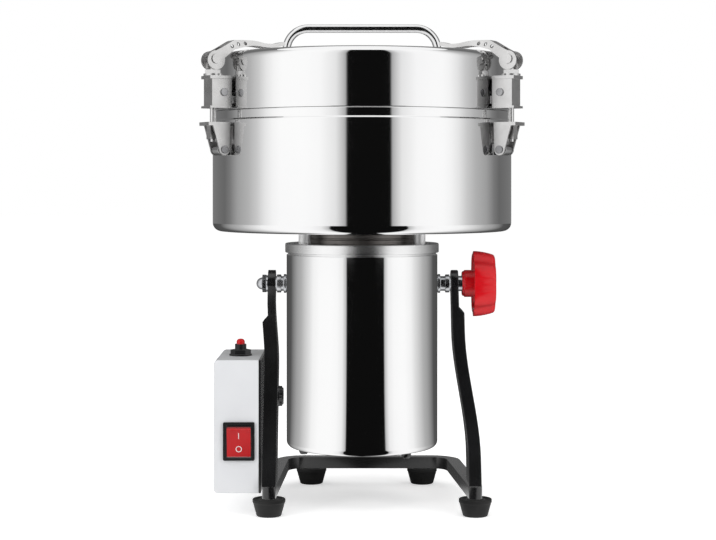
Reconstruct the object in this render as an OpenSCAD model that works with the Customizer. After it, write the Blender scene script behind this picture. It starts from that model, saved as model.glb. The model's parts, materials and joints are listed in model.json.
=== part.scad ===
/* [Bowl and lid] */
// Outer radius of the bowl wall
bowl_r = 126.4; // [110:0.1:140]
// Sheet thickness of the bowl
bowl_wall = 1.6; // [1:0.1:3]
// Height of the bowl wall below its rim
bowl_h = 92; // [70:1:130]
// Radius of the corner between the bowl's wall and bottom
bowl_corner = 7; // [4:0.5:12]
// Height of the rim ring that stiffens the bowl's mouth
rim_h = 8; // [6:0.5:12]
// How far the rim ring and the lid are set in from the bowl wall
rim_set_in = 1.4; // [0.5:0.1:3]
// Radial width of the rim ring
rim_w = 7; // [6:0.5:10]
// Height of the lid above the rim
lid_h = 48.4; // [35:0.1:70]
// Sheet thickness of the lid
lid_wall = 1.5; // [1:0.1:3]
// Radius of the lid's rounded shoulder
lid_shoulder = 7; // [4:0.5:12]
// Thickness of the seal where it stands in its groove
seal_h = 3; // [2:0.5:5]
// Radial width of the seal
seal_w = 3; // [2:0.5:4]

/* [Lid handle] */
// Diameter of the handle rod
handle_d = 7; // [5:0.5:10]
// Distance between the centres of the handle's two ends
handle_span = 128; // [90:1:150]
// Height of the handle's top above the lid
handle_h = 26.6; // [20:0.1:45]
// Bend radius of the handle's corners, at the rod's centre
handle_bend = 18; // [12:0.5:22]

/* [Motor] */
// Outer radius of the motor barrel
barrel_r = 64; // [58:0.5:70]
// Sheet thickness of the motor barrel
barrel_wall = 1.2; // [0.8:0.1:2]
// Height of the barrel's lowest edge above the floor
barrel_floor = 45.2; // [42:0.1:60]
// Height of the motor barrel
barrel_h = 162.7; // [150:0.1:190]
// Radius of the barrel's rounded bottom edge
barrel_corner = 5; // [3:0.5:8]
// How far the plate that closes the barrel's top stands out over the barrel
top_plate_edge = 1.2; // [0.5:0.1:4]
// Thickness of the rim of that plate
top_plate_t = 7.9; // [6:0.1:12]
// Radius of the dark collar under the bowl
collar_r = 45.3; // [40:0.1:50]
// Height of the dark collar, from the top plate to the bowl
collar_h = 10.5; // [8:0.1:16]
// Diameter of the posts between the top plate and the bowl
post_d = 10; // [6:0.5:12]
// Diameter of the motor shaft
shaft_d = 12; // [10:0.5:14]

/* [Blades] */
// Tip to tip length of the lower blade
lower_blade_len = 216; // [160:1:230]
// Tip to tip length of the upper blade
upper_blade_len = 176; // [120:1:220]
// Width of the blades
blade_w = 26; // [18:1:34]
// Thickness of the blades
blade_t = 3; // [2:0.5:4]
// Height of the lower blade above the inside of the bowl
blade_lift = 11; // [8:0.5:20]
// Height of the spacer between the blades
spacer_h = 20; // [12:1:30]
// Length of the bent tip at each end of a blade
blade_tip = 26; // [16:1:40]
// Width of the ground edge along each half of a blade
blade_bevel = 7; // [4:0.5:12]
// Angle that the lower blade's tips are bent up
lower_tip_bend = 8; // [0:1:20]
// Angle that the upper blade's tips are bent up
upper_tip_bend = 20; // [0:1:30]

/* [Stand] */
// Height of the tilt axis above the floor
tilt_z = 182.8; // [170:0.1:200]
// Radius of the rounded top end of each leg
leg_eye_r = 11.5; // [10:0.5:16]
// Thickness of the legs at their top ends
leg_top_t = 6.2; // [4:0.2:8]
// Sheet thickness of the legs
leg_sheet = 2.6; // [2:0.2:4]
// Depth of the flange along the edges of the left leg
left_leg_flange = 11; // [6:0.5:11.5]
// Depth of the flange along the edges of the right leg
right_leg_flange = 10.5; // [6:0.5:14]
// Height above the floor at which the left leg's flange ends
left_flange_top = 157; // [140:1:162]
// Height above the floor at which the right leg's flange ends
right_flange_top = 164; // [140:1:168]
// Gap between the barrel and the left leg at its top
left_leg_gap = 9.3; // [8:0.1:12]
// How far the left leg's inner face moves in on its way down
left_leg_drift = 3.8; // [0:0.1:5]
// Height at which the left leg starts to lean out
left_bend_low = 116; // [60:1:130]
// Height at which the left leg stands upright again
left_bend_high = 173; // [140:1:173]
// Gap between the barrel and the right leg at its top
right_leg_gap = 11.3; // [9:0.1:15]
// How far the right leg's inner face moves out on its way down
right_leg_flare = 10.5; // [0:0.5:14]
// Height at which the right leg starts to lean in
right_bend_low = 46; // [36:1:80]
// Height at which the right leg stands upright again
right_bend_high = 144; // [120:1:173]
// How far the front feet stand in front of the tilt axis, and the rear feet behind it
foot_reach = 75; // [60:1:90]
// Width of the legs at their bottom ends
leg_foot_w = 34; // [26:1:44]
// Height of the bars of the base
bar_h = 10; // [8:0.5:14]
// Width of the bars of the base
bar_w = 11; // [8:0.5:12]
// Radius inside the bends where the side bars meet the rear bar
bar_bend = 14; // [4:1:20]
// Distance of the left rear foot from the mill's axis
left_rear_foot = 45.1; // [40:0.1:60]
// Distance of the right rear foot from the mill's axis
right_rear_foot = 53.6; // [40:0.1:60]
// Height of the rubber feet
foot_h = 14; // [10:0.5:20]
// Radius of the feet at their tops
foot_top_r = 13.3; // [11:0.1:16]
// Radius of the feet at the floor
foot_floor_r = 9.9; // [8:0.1:11]

/* [Tilt pivot and knob] */
// Diameter of the pivot bolt and of the knob's stud
pivot_d = 8; // [6:0.5:10]
// Width of the pivot bolt's hexagonal head across its flats
bolt_head_w = 13; // [10:0.5:17]
// Diameter of the bosses on the barrel's sides
boss_d = 12.5; // [11:0.5:15]
// Diameter of the flanges of those bosses
boss_flange_d = 16; // [15:0.5:20]
// Largest diameter of the red knob
knob_d = 56; // [40:0.5:64]
// Smaller diameter of the knob at its outer face
knob_outer_d = 50.5; // [36:0.5:58]
// Thickness of the knob's grip
knob_t = 18.7; // [14:0.1:24]
// Number of lobes round the knob's grip
knob_lobes = 7; // [5:1:9]
// Diameter of the knob's hub
knob_hub_d = 23; // [18:0.5:28]
// Length of the knob's hub
knob_hub_l = 9.3; // [7:0.1:14]

/* [Control box] */
// Width of the box from its outer side to the black plate
box_w = 36.3; // [34:0.1:50]
// Depth of the box from front to back
box_d = 90; // [70:1:110]
// Height of the box
box_h = 107.4; // [90:0.1:130]
// Height of the box's bottom above the floor
box_floor = 18; // [16:0.5:30]
// Gap between the left leg and the black plate
plate_gap = 1; // [0.3:0.1:4]
// Sheet thickness of the box
box_wall = 1.5; // [1:0.1:3]
// Radius of the box's outer edges
box_corner = 3.5; // [2:0.5:6]
// Thickness of the black plate behind the box
plate_t = 1.8; // [1:0.1:2]
// Width of the switch's frame
switch_w = 25.4; // [22:0.1:28]
// Height of the switch's frame
switch_h = 30.8; // [28:0.1:34]
// Height of the switch's centre above the floor
switch_z = 60; // [40:1:90]
// Angle that the rocker leans to each side
rocker_lean = 9; // [6:1:12]
// Diameter of the reset breaker's neck
breaker_d = 9.5; // [8:0.1:12]
// Diameter of the reset breaker's nut
breaker_nut_d = 18.7; // [14:0.1:22]
// How far the breaker button rises when it trips
breaker_travel = 3; // [1:0.5:4]

/* [Clamps] */
// Directions of the clamps round the bowl
clamp_angles = [210, 330, 90];
// Distance of the clamps' hinge pins outside the bowl's wall
hinge_out = 6.6; // [5.5:0.1:9]
// Height of the hinge pins below the bowl's top edge
hinge_drop = 32.6; // [26:0.1:40]
// Diameter of the hinge pins
hinge_pin_d = 4; // [3:0.5:5]
// Height of the cam pivot above the bowl's top edge
cam_rise = 40.7; // [38:0.1:48]
// Distance of the clamp rods outside the hinge pins
rod_out = 6.2; // [5.5:0.1:8]
// Diameter of the clamp rods
rod_d = 5; // [4:0.5:6]
// Width of the saddles along the rim
saddle_w = 16; // [14:0.5:20]
// Sheet thickness of the saddles and yokes
clamp_sheet = 1.8; // [1.2:0.1:2.4]
// Diameter of the pin by which a saddle presses on the lid's lug
press_pin_d = 5; // [4:0.5:6]
// Height of that pin above the bowl's top edge
press_rise = 13.8; // [12:0.1:18]
// Radius of the cam
cam_r = 7.7; // [7:0.1:9]
// Distance of the cam's centre below its pivot
cam_throw = 1; // [0.5:0.1:1.5]
// Diameter of the cross barrel that the cam turns on
barrel_pin_d = 8; // [6:0.5:9]
// Length of the cam lever from its pivot to its tip
lever_len = 61; // [45:1:75]
// Width of the cam lever
lever_w = 13; // [10:0.5:16]

/* [Hidden] */
$fn = 96;
// running clearance of a pin in its bore, on the radius
run = 0.05;
// gap between faces that slide past each other
slide = 0.3;
// gap round a screw in the hole that it passes through
hole_play = 0.2;
screw_d = 5;

// heights, from the floor up
barrel_top = barrel_floor + barrel_h;
top_plate_gap = 1.5;
top_plate_z = barrel_top + top_plate_gap;
collar_z = top_plate_z + top_plate_t;
bowl_z = collar_z + collar_h;
rim_z = bowl_z + bowl_h;
mouth_z = rim_z + rim_h;
lid_top = mouth_z + lid_h;
bowl_in_z = bowl_z + bowl_wall;

rim_r = bowl_r - rim_set_in;
lid_r = rim_r - 0.5;
seal_r = rim_r - rim_w / 2;
barrel_in = barrel_r - barrel_wall;
top_plate_r = barrel_r + top_plate_edge;
post_circle_r = (collar_r + top_plate_r) / 2;

// motor, inside the barrel
cover_t = 2;
cover_z = barrel_floor + 2;
cover_slots = 16;
cover_slot_w = 3.2;
cover_screw_d = 8;
cover_screw_at = barrel_r - barrel_corner - 8;
fan_z = cover_z + 11;
fan_h = 13;
fan_r = barrel_r - 16;
fan_blades = 10;
fan_disc = 2;
fan_hub_r = shaft_d / 2 + 7;
low_bracket_z = fan_z + fan_h + 6;
bracket_floor = 2;
bracket_ring_h = 8;
bracket_arm_h = 6;
brush_w = 10;
brush_l = 24;
brush_h = 8;
brush_clamp = 6;
low_bearing_z = low_bracket_z + bracket_floor;
low_bearing_r = shaft_d / 2 + 10;
low_bearing_h = 10;
shield_depth = 0.8;
commutator_z = low_bracket_z + 20;
commutator_h = 18;
commutator_r = shaft_d / 2 + 10;
commutator_bars = 24;
winding_end = 8;
core_z = commutator_z + commutator_h + winding_end;
core_h = 52;
armature_r = 27;
armature_slots = 12;
air_gap = 0.6;
pole_r = armature_r + air_gap;
pole_w = 38;
yoke_ring = 11;
coil_d = 14;
coil_side = 6;
up_bearing_r = 20;
up_bearing_h = 12;
up_bearing_seat = 17;
up_bearing_floor = 3;
shaft_bottom = fan_z - 3;
hub_z = bowl_in_z + blade_lift;
upper_z = hub_z + blade_t + spacer_h;
nut_z = upper_z + blade_t;
blade_nut_h = 9;
nut_washer = 2;
shaft_top = nut_z + nut_washer + blade_nut_h + 1;

// stand
left_leg_in = barrel_r + left_leg_gap;
right_leg_in = barrel_r + right_leg_gap;
base_z = foot_h;
leg_z = base_z + bar_h;
leg_span = tilt_z - leg_z;
leg_foot_y = foot_reach - leg_foot_w / 2 + bar_w / 2;
left_foot_x = left_leg_in - left_leg_drift + bar_w / 2;
right_foot_x = right_leg_in + right_leg_flare + bar_w / 2;

// control box
box_in = left_leg_in - left_leg_drift + left_leg_flange + plate_gap + plate_t;
box_out = box_in + box_w;
box_top = box_floor + box_h;
box_front = -foot_reach;
switch_x = -(box_out + box_in) / 2 + 2.2;
switch_deep = 20;
switch_lip = 2;
switch_fit = 1.4;
rocker_w = 19.2;
rocker_h = 24;
rocker_t = 7;
rocker_pin_d = 3;
rocker_in = 5;
breaker_x = -(box_out + box_in) / 2 + 1;
breaker_y = box_front + 38;
breaker_neck_h = 9.5;
breaker_nut_h = 5;
breaker_deep = 18;
button_d = breaker_d - 2.6;
button_top = breaker_neck_h + 4.5;
button_low = -4 - breaker_travel;
box_bolt_z = 92;
box_screw_z = 44;
sink_h = 2;
sink_d = 2 * screw_d - 1;

// clamps, in the plane that holds the mill's axis and the clamp's rod
hinge_u = bowl_r + hinge_out;
rod_u = hinge_u + rod_out;
hinge_z = mouth_z - hinge_drop;
cam_z = mouth_z + cam_rise;
press_z = mouth_z + press_rise;
lug_w = 11.6;
lug_out = hinge_u - 0.9;
lug_top = press_z - press_pin_d / 2 - 0.05;
saddle_low = mouth_z + 0.9;
saddle_plate = 2.6;
washer_h = 4.8;
cam_gap = 0.05;
saddle_top = cam_z - cam_throw - cam_r - cam_gap - washer_h;
washer_d = 15.4;
saddle_out = rod_u + rod_d / 2 + 0.2 + clamp_sheet;
yoke_out = saddle_out + 3.5;
yoke_top = hinge_z + 21.2;
yoke_w = 18;
nose_r = 4.6;
nut_w = 8;

// a ring between two radii
module ring(r_out, r_in, h) {
    difference() {
        cylinder(r = r_out, h = h);
        translate([0, 0, -1]) cylinder(r = r_in, h = h + 2);
    }
}

// a rectangle with rounded corners, centred
module soft_rect(w, h, r) {
    offset(r = r) square([w - 2 * r, h - 2 * r], center = true);
}

// places its child at a clamp's direction
module at_clamp(i) {
    rotate([0, 0, clamp_angles[i]]) children();
}

// a pin or bore along the rim's tangent, through (u, z)
module cross_pin(u, z, d, len) {
    translate([u, 0, z]) rotate([90, 0, 0]) cylinder(d = d, h = len, center = true);
}

// a profile in the clamp's (u, z) plane, given a width along the tangent
module clamp_plate(width, from = 0) {
    translate([0, from + width, 0]) rotate([90, 0, 0]) linear_extrude(width) children();
}

// ---- stand ----

// how far along its height a leg has come, from 0 at the foot to 1 at the tilt axis
function up_leg(z) = (z - leg_z) / leg_span;
// a smooth step from 0 to 1 between a and b
function ease(t) = t <= 0 ? 0 : t >= 1 ? 1 : t * t * (3 - 2 * t);
// how far the inner face has moved sideways at height z, as a part of its whole shift
function leg_shift(z, bend) = 1 - ease((z - bend[0]) / (bend[1] - bend[0]));
function leg_y(z) = -leg_foot_y * pow(1 - up_leg(z), 0.9);
function leg_half(z) = leg_neck + (leg_foot_w / 2 - leg_neck) * (1 - up_leg(z));
left_bend = [left_bend_low, left_bend_high];
right_bend = [right_bend_low, right_bend_high];
leg_steps = 18;
leg_neck = leg_eye_r - 1;
leg_heights = [for (i = [0 : leg_steps]) leg_z + leg_span * i / leg_steps];

// side view of a leg, with its edges set in
module leg_outline(inset) {
    front = [for (z = leg_heights) [leg_y(z) - leg_half(z) + inset, z]];
    back = [for (i = [leg_steps : -1 : 0]) let (z = leg_heights[i])
        [leg_y(z) + leg_half(z) - inset, z]];
    polygon(concat(front, back));
}

// front view of a leg: a band depth deep outwards from its inner face, with a slanted top end
module leg_band(side, x_top, shift, bend, depth, z_end) {
    slant = max(depth - leg_top_t, 0);
    zs = [for (i = [0 : leg_steps]) leg_z + (z_end - slant - leg_z) * i / leg_steps];
    function inner(z) = x_top + shift * leg_shift(z, bend);
    inside = [for (z = zs) [side * inner(z), z]];
    tip = slant > 0 ? [[side * inner(z_end), z_end], [side * (inner(z_end) + leg_top_t), z_end]] : [];
    outside = [for (i = [leg_steps : -1 : 0]) [side * (inner(zs[i]) + depth), zs[i]]];
    polygon(concat(inside, tip, outside));
}

module leg(side, x_top, shift, bend, flange, flange_top) {
    top_end = tilt_z + leg_eye_r + 1;
    difference() {
        intersection() {
            rotate([90, 0, 0]) linear_extrude(3 * foot_reach, center = true) union() {
                leg_band(side, x_top, shift, bend, flange, flange_top);
                leg_band(side, x_top, shift, bend, leg_top_t, top_end);
            }
            union() {
                rotate([90, 0, 90]) linear_extrude(4 * box_out, center = true) leg_outline(0);
                // the round end about the tilt axis
                translate([0, 0, tilt_z]) rotate([0, 90, 0])
                    cylinder(r = leg_eye_r, h = 4 * box_out, center = true);
            }
        }
        // the hollow side of the pressed sheet, between its flanges
        intersection() {
            rotate([90, 0, 0]) linear_extrude(3 * foot_reach, center = true)
                leg_band(side, x_top + leg_sheet, shift, bend, 2 * flange, top_end + 2 * flange);
            rotate([90, 0, 90]) linear_extrude(4 * box_out, center = true) difference() {
                leg_outline(leg_sheet);
                translate([0, tilt_z]) circle(r = leg_eye_r + 1.5);
                translate([-2 * foot_reach, leg_z - 1]) square([4 * foot_reach, leg_sheet + 1]);
            }
        }
        // the bore for the pivot
        translate([side * (x_top + leg_top_t / 2), 0, tilt_z]) rotate([0, 90, 0])
            cylinder(d = pivot_d + 2 * run, h = 4 * leg_top_t, center = true);
    }
}

module left_leg() {
    color("#1b1b1d") difference() {
        leg(-1, left_leg_in, -left_leg_drift, left_bend, left_leg_flange, left_flange_top);
        // the holes for the control box's bolt and for its countersunk screw
        on_leg_face(box_bolt_z) cylinder(d = screw_d + 2 * hole_play, h = 3 * leg_sheet, center = true);
        on_leg_face(box_screw_z) {
            cylinder(d = screw_d + 2 * hole_play, h = 3 * leg_sheet, center = true);
            translate([0, 0, -sink_h])
                cylinder(d1 = screw_d + 2 * hole_play, d2 = sink_d + 2 * hole_play, h = sink_h);
        }
    }
}

module right_leg() {
    color("#1b1b1d")
        leg(1, right_leg_in, right_leg_flare, right_bend, right_leg_flange, right_flange_top);
}

// places its child on the left leg's inner face at height z, with its axis towards the barrel
module on_leg_face(z) {
    translate([-left_face(z), leg_y(z), z]) rotate([0, 90, 0]) children();
}

// one bar bent twice: a rear bar between the legs' side bars, with round front ends
module base_frame() {
    color("#1b1b1d") difference() {
        translate([0, 0, base_z]) linear_extrude(bar_h) {
            difference() {
                offset(delta = bar_w / 2) bar_line();
                offset(delta = -bar_w / 2) bar_line();
                translate([-box_out, -4 * foot_reach]) square([2 * box_out, 3 * foot_reach]);
            }
            for (x = [-left_foot_x, right_foot_x]) translate([x, -foot_reach]) circle(d = bar_w);
        }
        for (p = feet_at) translate([p[0], p[1], base_z - 1]) cylinder(d = screw_d, h = 6);
    }
}

// the area inside the bar's centre line, drawn on past the front feet, with both bends round
module bar_line() {
    bend_r = bar_bend + bar_w / 2;
    offset(r = bend_r) offset(delta = -bend_r) polygon([
        [-left_foot_x - left_toe_in, -3 * foot_reach], [-left_foot_x + left_toe_in, foot_reach],
        [right_foot_x - right_toe_in, foot_reach], [right_foot_x + right_toe_in, -3 * foot_reach]]);
}

left_toe_in = 5;
right_toe_in = 12;

feet_at = [[-left_foot_x, -foot_reach], [right_foot_x, -foot_reach],
    [-left_rear_foot, foot_reach], [right_rear_foot, foot_reach]];

module rubber_feet() {
    color("#151515") for (p = feet_at) translate([p[0], p[1], 0]) rotate_extrude() foot_profile();
}

// half section of a foot, with the stem that fills its hole in the base
module foot_profile() {
    polygon([[0, 0], [foot_floor_r - 1, 0], [foot_floor_r, 1], [foot_top_r, foot_h - 2.5],
        [foot_top_r, foot_h], [screw_d / 2, foot_h], [screw_d / 2, foot_h + 5], [0, foot_h + 5]]);
}

// ---- control box ----

module box_housing() {
    color("#eceef0") difference() {
        translate([-box_in, box_front, box_floor]) box_body(box_w, box_d, box_h, box_corner);
        translate([-box_in + 1, box_front + box_wall, box_floor + box_wall])
            box_body(box_w - box_wall + 1, box_d - 2 * box_wall, box_h - 2 * box_wall,
                box_corner - box_wall);
        translate([switch_x, box_front, switch_z])
            cube([switch_w - 2 * switch_fit, 4 * box_wall, switch_h - 2 * switch_fit], center = true);
        translate([breaker_x, breaker_y, box_top - 2 * box_wall])
            cylinder(d = breaker_d + hole_play, h = 4 * box_wall);
    }
}

// a block that reaches w to the left of the origin, with rounded long edges on that side
module box_body(w, d, h, r) {
    translate([0, d, 0]) rotate([90, 0, 0]) linear_extrude(d) intersection() {
        translate([0, h / 2]) soft_rect(2 * w, h, r);
        translate([-w, 0]) square([w, h]);
    }
}

module box_back_plate() {
    color("#1b1b1d") difference() {
        translate([-box_in, box_front, box_floor]) cube([plate_t, box_d, box_h]);
        for (z = [box_bolt_z, box_screw_z]) translate([-box_in, leg_y(z), z]) rotate([0, 90, 0])
            cylinder(d = screw_d, h = 6 * plate_t, center = true);
    }
}

// the bolt with a ribbed nut and the countersunk screw that carry the box on the left leg, each
// with a spacer between the plate and the leg
module box_bolts() {
    to_face = box_in - left_face(box_bolt_z);
    nut_d = 3.4 * screw_d;
    nut_h = 4.5;
    ribs = 8;
    color("#222224") {
        for (z = [box_bolt_z, box_screw_z]) on_leg_face(z) {
            translate([0, 0, -to_face]) cylinder(d = screw_d, h = to_face);
            translate([0, 0, -to_face - 3]) cylinder(d = sink_d, h = 3);
            translate([0, 0, plate_t - to_face])
                cylinder(d = screw_d + 3, h = to_face - plate_t - leg_sheet);
        }
        on_leg_face(box_bolt_z) {
            cylinder(d = nut_d - 3, h = nut_h);
            cylinder(d = nut_d, h = 1.4);
            for (i = [0 : ribs - 1]) rotate([0, 0, i * 360 / ribs])
                translate([nut_d / 2 - 1.6, 0, 0]) cylinder(d = 3, h = nut_h - 0.9);
        }
        on_leg_face(box_screw_z) translate([0, 0, -sink_h])
            cylinder(d1 = screw_d, d2 = sink_d, h = sink_h);
    }
}

// distance of the left leg's inner face from the mill's axis at height z
function left_face(z) = left_leg_in - left_leg_drift * leg_shift(z, left_bend);

module switch_frame() {
    color("#18181a") translate([switch_x, box_front, switch_z]) difference() {
        union() {
            rotate([90, 0, 0]) linear_extrude(switch_lip) soft_rect(switch_w, switch_h, 1.2);
            translate([0, switch_deep / 2, 0])
                cube([switch_w - 2 * switch_fit, switch_deep, switch_h - 2 * switch_fit], center = true);
        }
        translate([0, 5 - switch_lip, 0]) cube([rocker_w + 1, 12, rocker_h + 2.6], center = true);
        translate([0, rocker_in, 0]) rotate([0, 90, 0])
            cylinder(d = rocker_pin_d + 2 * run, h = rocker_w + 2.4, center = true);
    }
}

// the rocker leans so that the lower half is pressed in
module rocker() {
    color("#d4141c") translate([switch_x, box_front + rocker_in, switch_z]) rotate([rocker_lean, 0, 0]) {
        translate([-rocker_w / 2, 0, 0]) rotate([90, 0, 90]) linear_extrude(rocker_w) rocker_side();
        rotate([0, 90, 0]) cylinder(d = rocker_pin_d, h = rocker_w + 2, center = true);
    }
}

// side view of the rocker, with a shallow valley between its two halves
module rocker_side() {
    polygon([[-rocker_t - 1.2, -rocker_h / 2 + 1], [-rocker_t, 0], [-rocker_t - 1.2, rocker_h / 2 - 1],
        [-rocker_t, rocker_h / 2], [-2, rocker_h / 2], [1.2, 2], [1.2, -2], [-2, -rocker_h / 2],
        [-rocker_t, -rocker_h / 2]]);
}

module breaker_body() {
    color("#151516") translate([breaker_x, breaker_y, box_top]) difference() {
        union() {
            translate([0, 0, -box_wall - breaker_deep]) cylinder(d = breaker_d + 4.5, h = breaker_deep);
            translate([0, 0, -box_wall - 1]) cylinder(d = breaker_d, h = box_wall + 1 + breaker_neck_h);
        }
        translate([0, 0, -8]) cylinder(d = button_d + 2 * run, h = 30);
    }
}

module breaker_nut() {
    color("#151516") translate([breaker_x, breaker_y, box_top]) difference() {
        union() {
            cylinder(d = breaker_nut_d, h = 1.4);
            translate([0, 0, 1.4]) cylinder(d = breaker_nut_d - 1.6, h = breaker_nut_h - 1.4, $fn = 6);
        }
        translate([0, 0, -1]) cylinder(d = breaker_d, h = breaker_nut_h + 2);
    }
}

module breaker_button() {
    color("#d4141c") translate([breaker_x, breaker_y, box_top]) rotate_extrude() {
        polygon([[0, button_low], [button_d / 2, button_low], [button_d / 2, button_top - 2.4],
            [button_d / 2 - 0.5, button_top - 1.1], [button_d / 2 - 1.6, button_top - 0.3],
            [0, button_top]]);
    }
}

// ---- motor ----

module motor_shell() {
    color("#c9cbce") difference() {
        translate([0, 0, barrel_floor]) rotate_extrude() difference() {
            union() {
                translate([0, barrel_corner]) square([barrel_r, barrel_h - barrel_corner]);
                square([barrel_r - barrel_corner, barrel_corner + 1]);
                translate([barrel_r - barrel_corner, barrel_corner]) circle(r = barrel_corner);
            }
            translate([0, cover_z - barrel_floor]) square([barrel_in, barrel_h]);
            square([barrel_r - barrel_corner - 3, barrel_h]);
            translate([-barrel_r, -1]) square([barrel_r, barrel_h + 2]);
        }
        for (s = [-1, 1]) translate([s * barrel_r, 0, tilt_z]) rotate([0, 90, 0])
            cylinder(d = boss_d, h = 8, center = true);
    }
}

module bottom_cover() {
    slot_l = fan_r / 2;
    color("#2a2a2c") translate([0, 0, cover_z]) difference() {
        cylinder(r = barrel_in, h = cover_t);
        for (i = [0 : cover_slots - 1]) rotate([0, 0, i * 360 / cover_slots])
            translate([slot_l, -cover_slot_w / 2, -1]) cube([slot_l - 4, cover_slot_w, cover_t + 2]);
    }
}

// three screws with domed heads that hold the bottom cover
module cover_screws() {
    dome = cover_screw_d / 2;
    color("#18181a") for (a = [76, 196, 316]) rotate([0, 0, a]) translate([cover_screw_at, 0, cover_z])
        rotate_extrude() intersection() {
            translate([0, -dome - 3]) square([dome, dome + 3]);
            union() {
                translate([0, -dome]) circle(r = dome);
                translate([0, -dome]) square([dome / 2, dome]);
            }
        }
}

module top_plate() {
    color("#d0d2d5") difference() {
        union() {
            translate([0, 0, top_plate_z]) cylinder(r = top_plate_r, h = top_plate_t);
            translate([0, 0, barrel_top - 5]) cylinder(r = barrel_in, h = 5 + top_plate_gap);
            translate([0, 0, collar_z - up_bearing_seat])
                cylinder(r = up_bearing_r + 6, h = up_bearing_seat);
        }
        translate([0, 0, collar_z - up_bearing_seat + up_bearing_floor])
            cylinder(r = up_bearing_r, h = up_bearing_seat);
        translate([0, 0, collar_z - up_bearing_seat - 1])
            cylinder(r = shaft_d / 2 + 3, h = up_bearing_seat);
    }
}

module seal_collar() {
    color("#333336") translate([0, 0, collar_z]) difference() {
        union() {
            cylinder(r = collar_r, h = collar_h - 2.4);
            cylinder(r = collar_r - 2.3, h = collar_h);
            cylinder(r = 12, h = collar_h + bowl_wall + 5);
        }
        translate([0, 0, -1]) cylinder(r = shaft_d / 2 + 0.6, h = collar_h + bowl_wall + 8);
    }
}

module bowl_posts() {
    color("#d8dadd") for (a = [30, 150, 210, 330]) rotate([0, 0, a])
        translate([post_circle_r, 0, collar_z]) cylinder(d = post_d, h = collar_h);
}

module bowl() {
    corner_in = bowl_corner - bowl_wall;
    color("#d4d6d9") difference() {
        rotate_extrude() {
            translate([0, bowl_z]) square([bowl_r - bowl_corner, bowl_wall]);
            translate([bowl_r - bowl_wall, bowl_z + bowl_corner])
                square([bowl_wall, bowl_h - bowl_corner]);
            translate([bowl_r - bowl_corner, bowl_z + bowl_corner]) intersection() {
                difference() {
                    circle(r = bowl_corner);
                    circle(r = corner_in);
                }
                translate([0, -bowl_corner]) square(bowl_corner);
            }
            translate([rim_r - rim_w, rim_z]) square([rim_w, rim_h]);
            // the slope on which the rim ring rests
            translate([bowl_r - bowl_wall, rim_z - 3])
                polygon([[0, 0], [0, 3], [-rim_w + rim_set_in + 1, 3]]);
        }
        translate([0, 0, bowl_z - 1]) cylinder(r = 12, h = bowl_wall + 2);
        translate([0, 0, mouth_z - seal_h]) ring(seal_r + seal_w / 2, seal_r - seal_w / 2, seal_h + 1);
    }
}

module bowl_lugs() {
    color("#c2c4c8") for (i = [0 : 2]) at_clamp(i) difference() {
        clamp_plate(lug_w, -lug_w / 2) union() {
            translate([hinge_u, hinge_z]) circle(r = nose_r);
            translate([bowl_r - bowl_wall / 2, hinge_z - nose_r])
                square([hinge_u - bowl_r + bowl_wall / 2, 2 * nose_r]);
        }
        cross_pin(hinge_u, hinge_z, hinge_pin_d + 2 * run, lug_w + 2);
        cylinder(r = bowl_r, h = 2 * mouth_z);
    }
}

module pivot_bosses() {
    color("#b9bbbf") for (s = [-1, 1]) {
        face = (s < 0 ? left_leg_in : right_leg_in) - slide;
        translate([0, 0, tilt_z]) rotate([0, s * 90, 0]) difference() {
            union() {
                translate([0, 0, barrel_in - 3]) cylinder(d = boss_d, h = face - barrel_in + 3);
                translate([0, 0, barrel_r + 0.2]) cylinder(d = boss_flange_d, h = 2.2);
                translate([0, 0, face - 4.4]) cylinder(d = boss_flange_d - 0.6, h = 3.6);
            }
            translate([0, 0, barrel_in - 4]) cylinder(d = pivot_d + 2 * (s < 0 ? 0 : run), h = 40);
        }
    }
}

module pivot_bolt() {
    head_x = left_leg_in + leg_top_t + slide;
    washer_t = 1.4;
    hex_h = 3.4;
    dome_r = 0.39 * bolt_head_w;
    color("#9a9ca0") translate([0, 0, tilt_z]) rotate([0, -90, 0]) {
        translate([0, 0, barrel_in - 2]) cylinder(d = pivot_d, h = head_x - barrel_in + 4);
        translate([0, 0, head_x]) cylinder(d = bolt_head_w + 1, h = washer_t);
        translate([0, 0, head_x + washer_t]) cylinder(r = bolt_head_w / sqrt(3), h = hex_h, $fn = 6);
        // the domed end of the cap nut
        translate([0, 0, head_x + washer_t + hex_h]) rotate_extrude() intersection() {
            circle(r = dome_r);
            square(dome_r);
        }
    }
}

module stator() {
    color("#6d6f73") translate([0, 0, core_z]) difference() {
        union() {
            ring(barrel_in, barrel_in - yoke_ring, core_h);
            intersection() {
                translate([-barrel_in, -pole_w / 2, 0]) cube([2 * barrel_in, pole_w, core_h]);
                cylinder(r = barrel_in - yoke_ring / 2, h = core_h);
            }
        }
        translate([0, 0, -1]) cylinder(r = pole_r, h = core_h + 2);
    }
}

// the winding round each pole, as one solid ring with its two end turns
module field_coils() {
    ends = winding_end;
    wide = pole_w + 2 * coil_side;
    color("#b5541f") for (s = [0, 180]) rotate([0, 0, s]) translate([0, 0, core_z - ends])
        difference() {
            intersection() {
                translate([pole_r + 3, -wide / 2, 0]) cube([coil_d, wide, core_h + 2 * ends]);
                cylinder(r = barrel_in - yoke_ring - 0.5, h = core_h + 2 * ends);
            }
            translate([0, -pole_w / 2, ends]) cube([barrel_in, pole_w, core_h]);
        }
}

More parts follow.
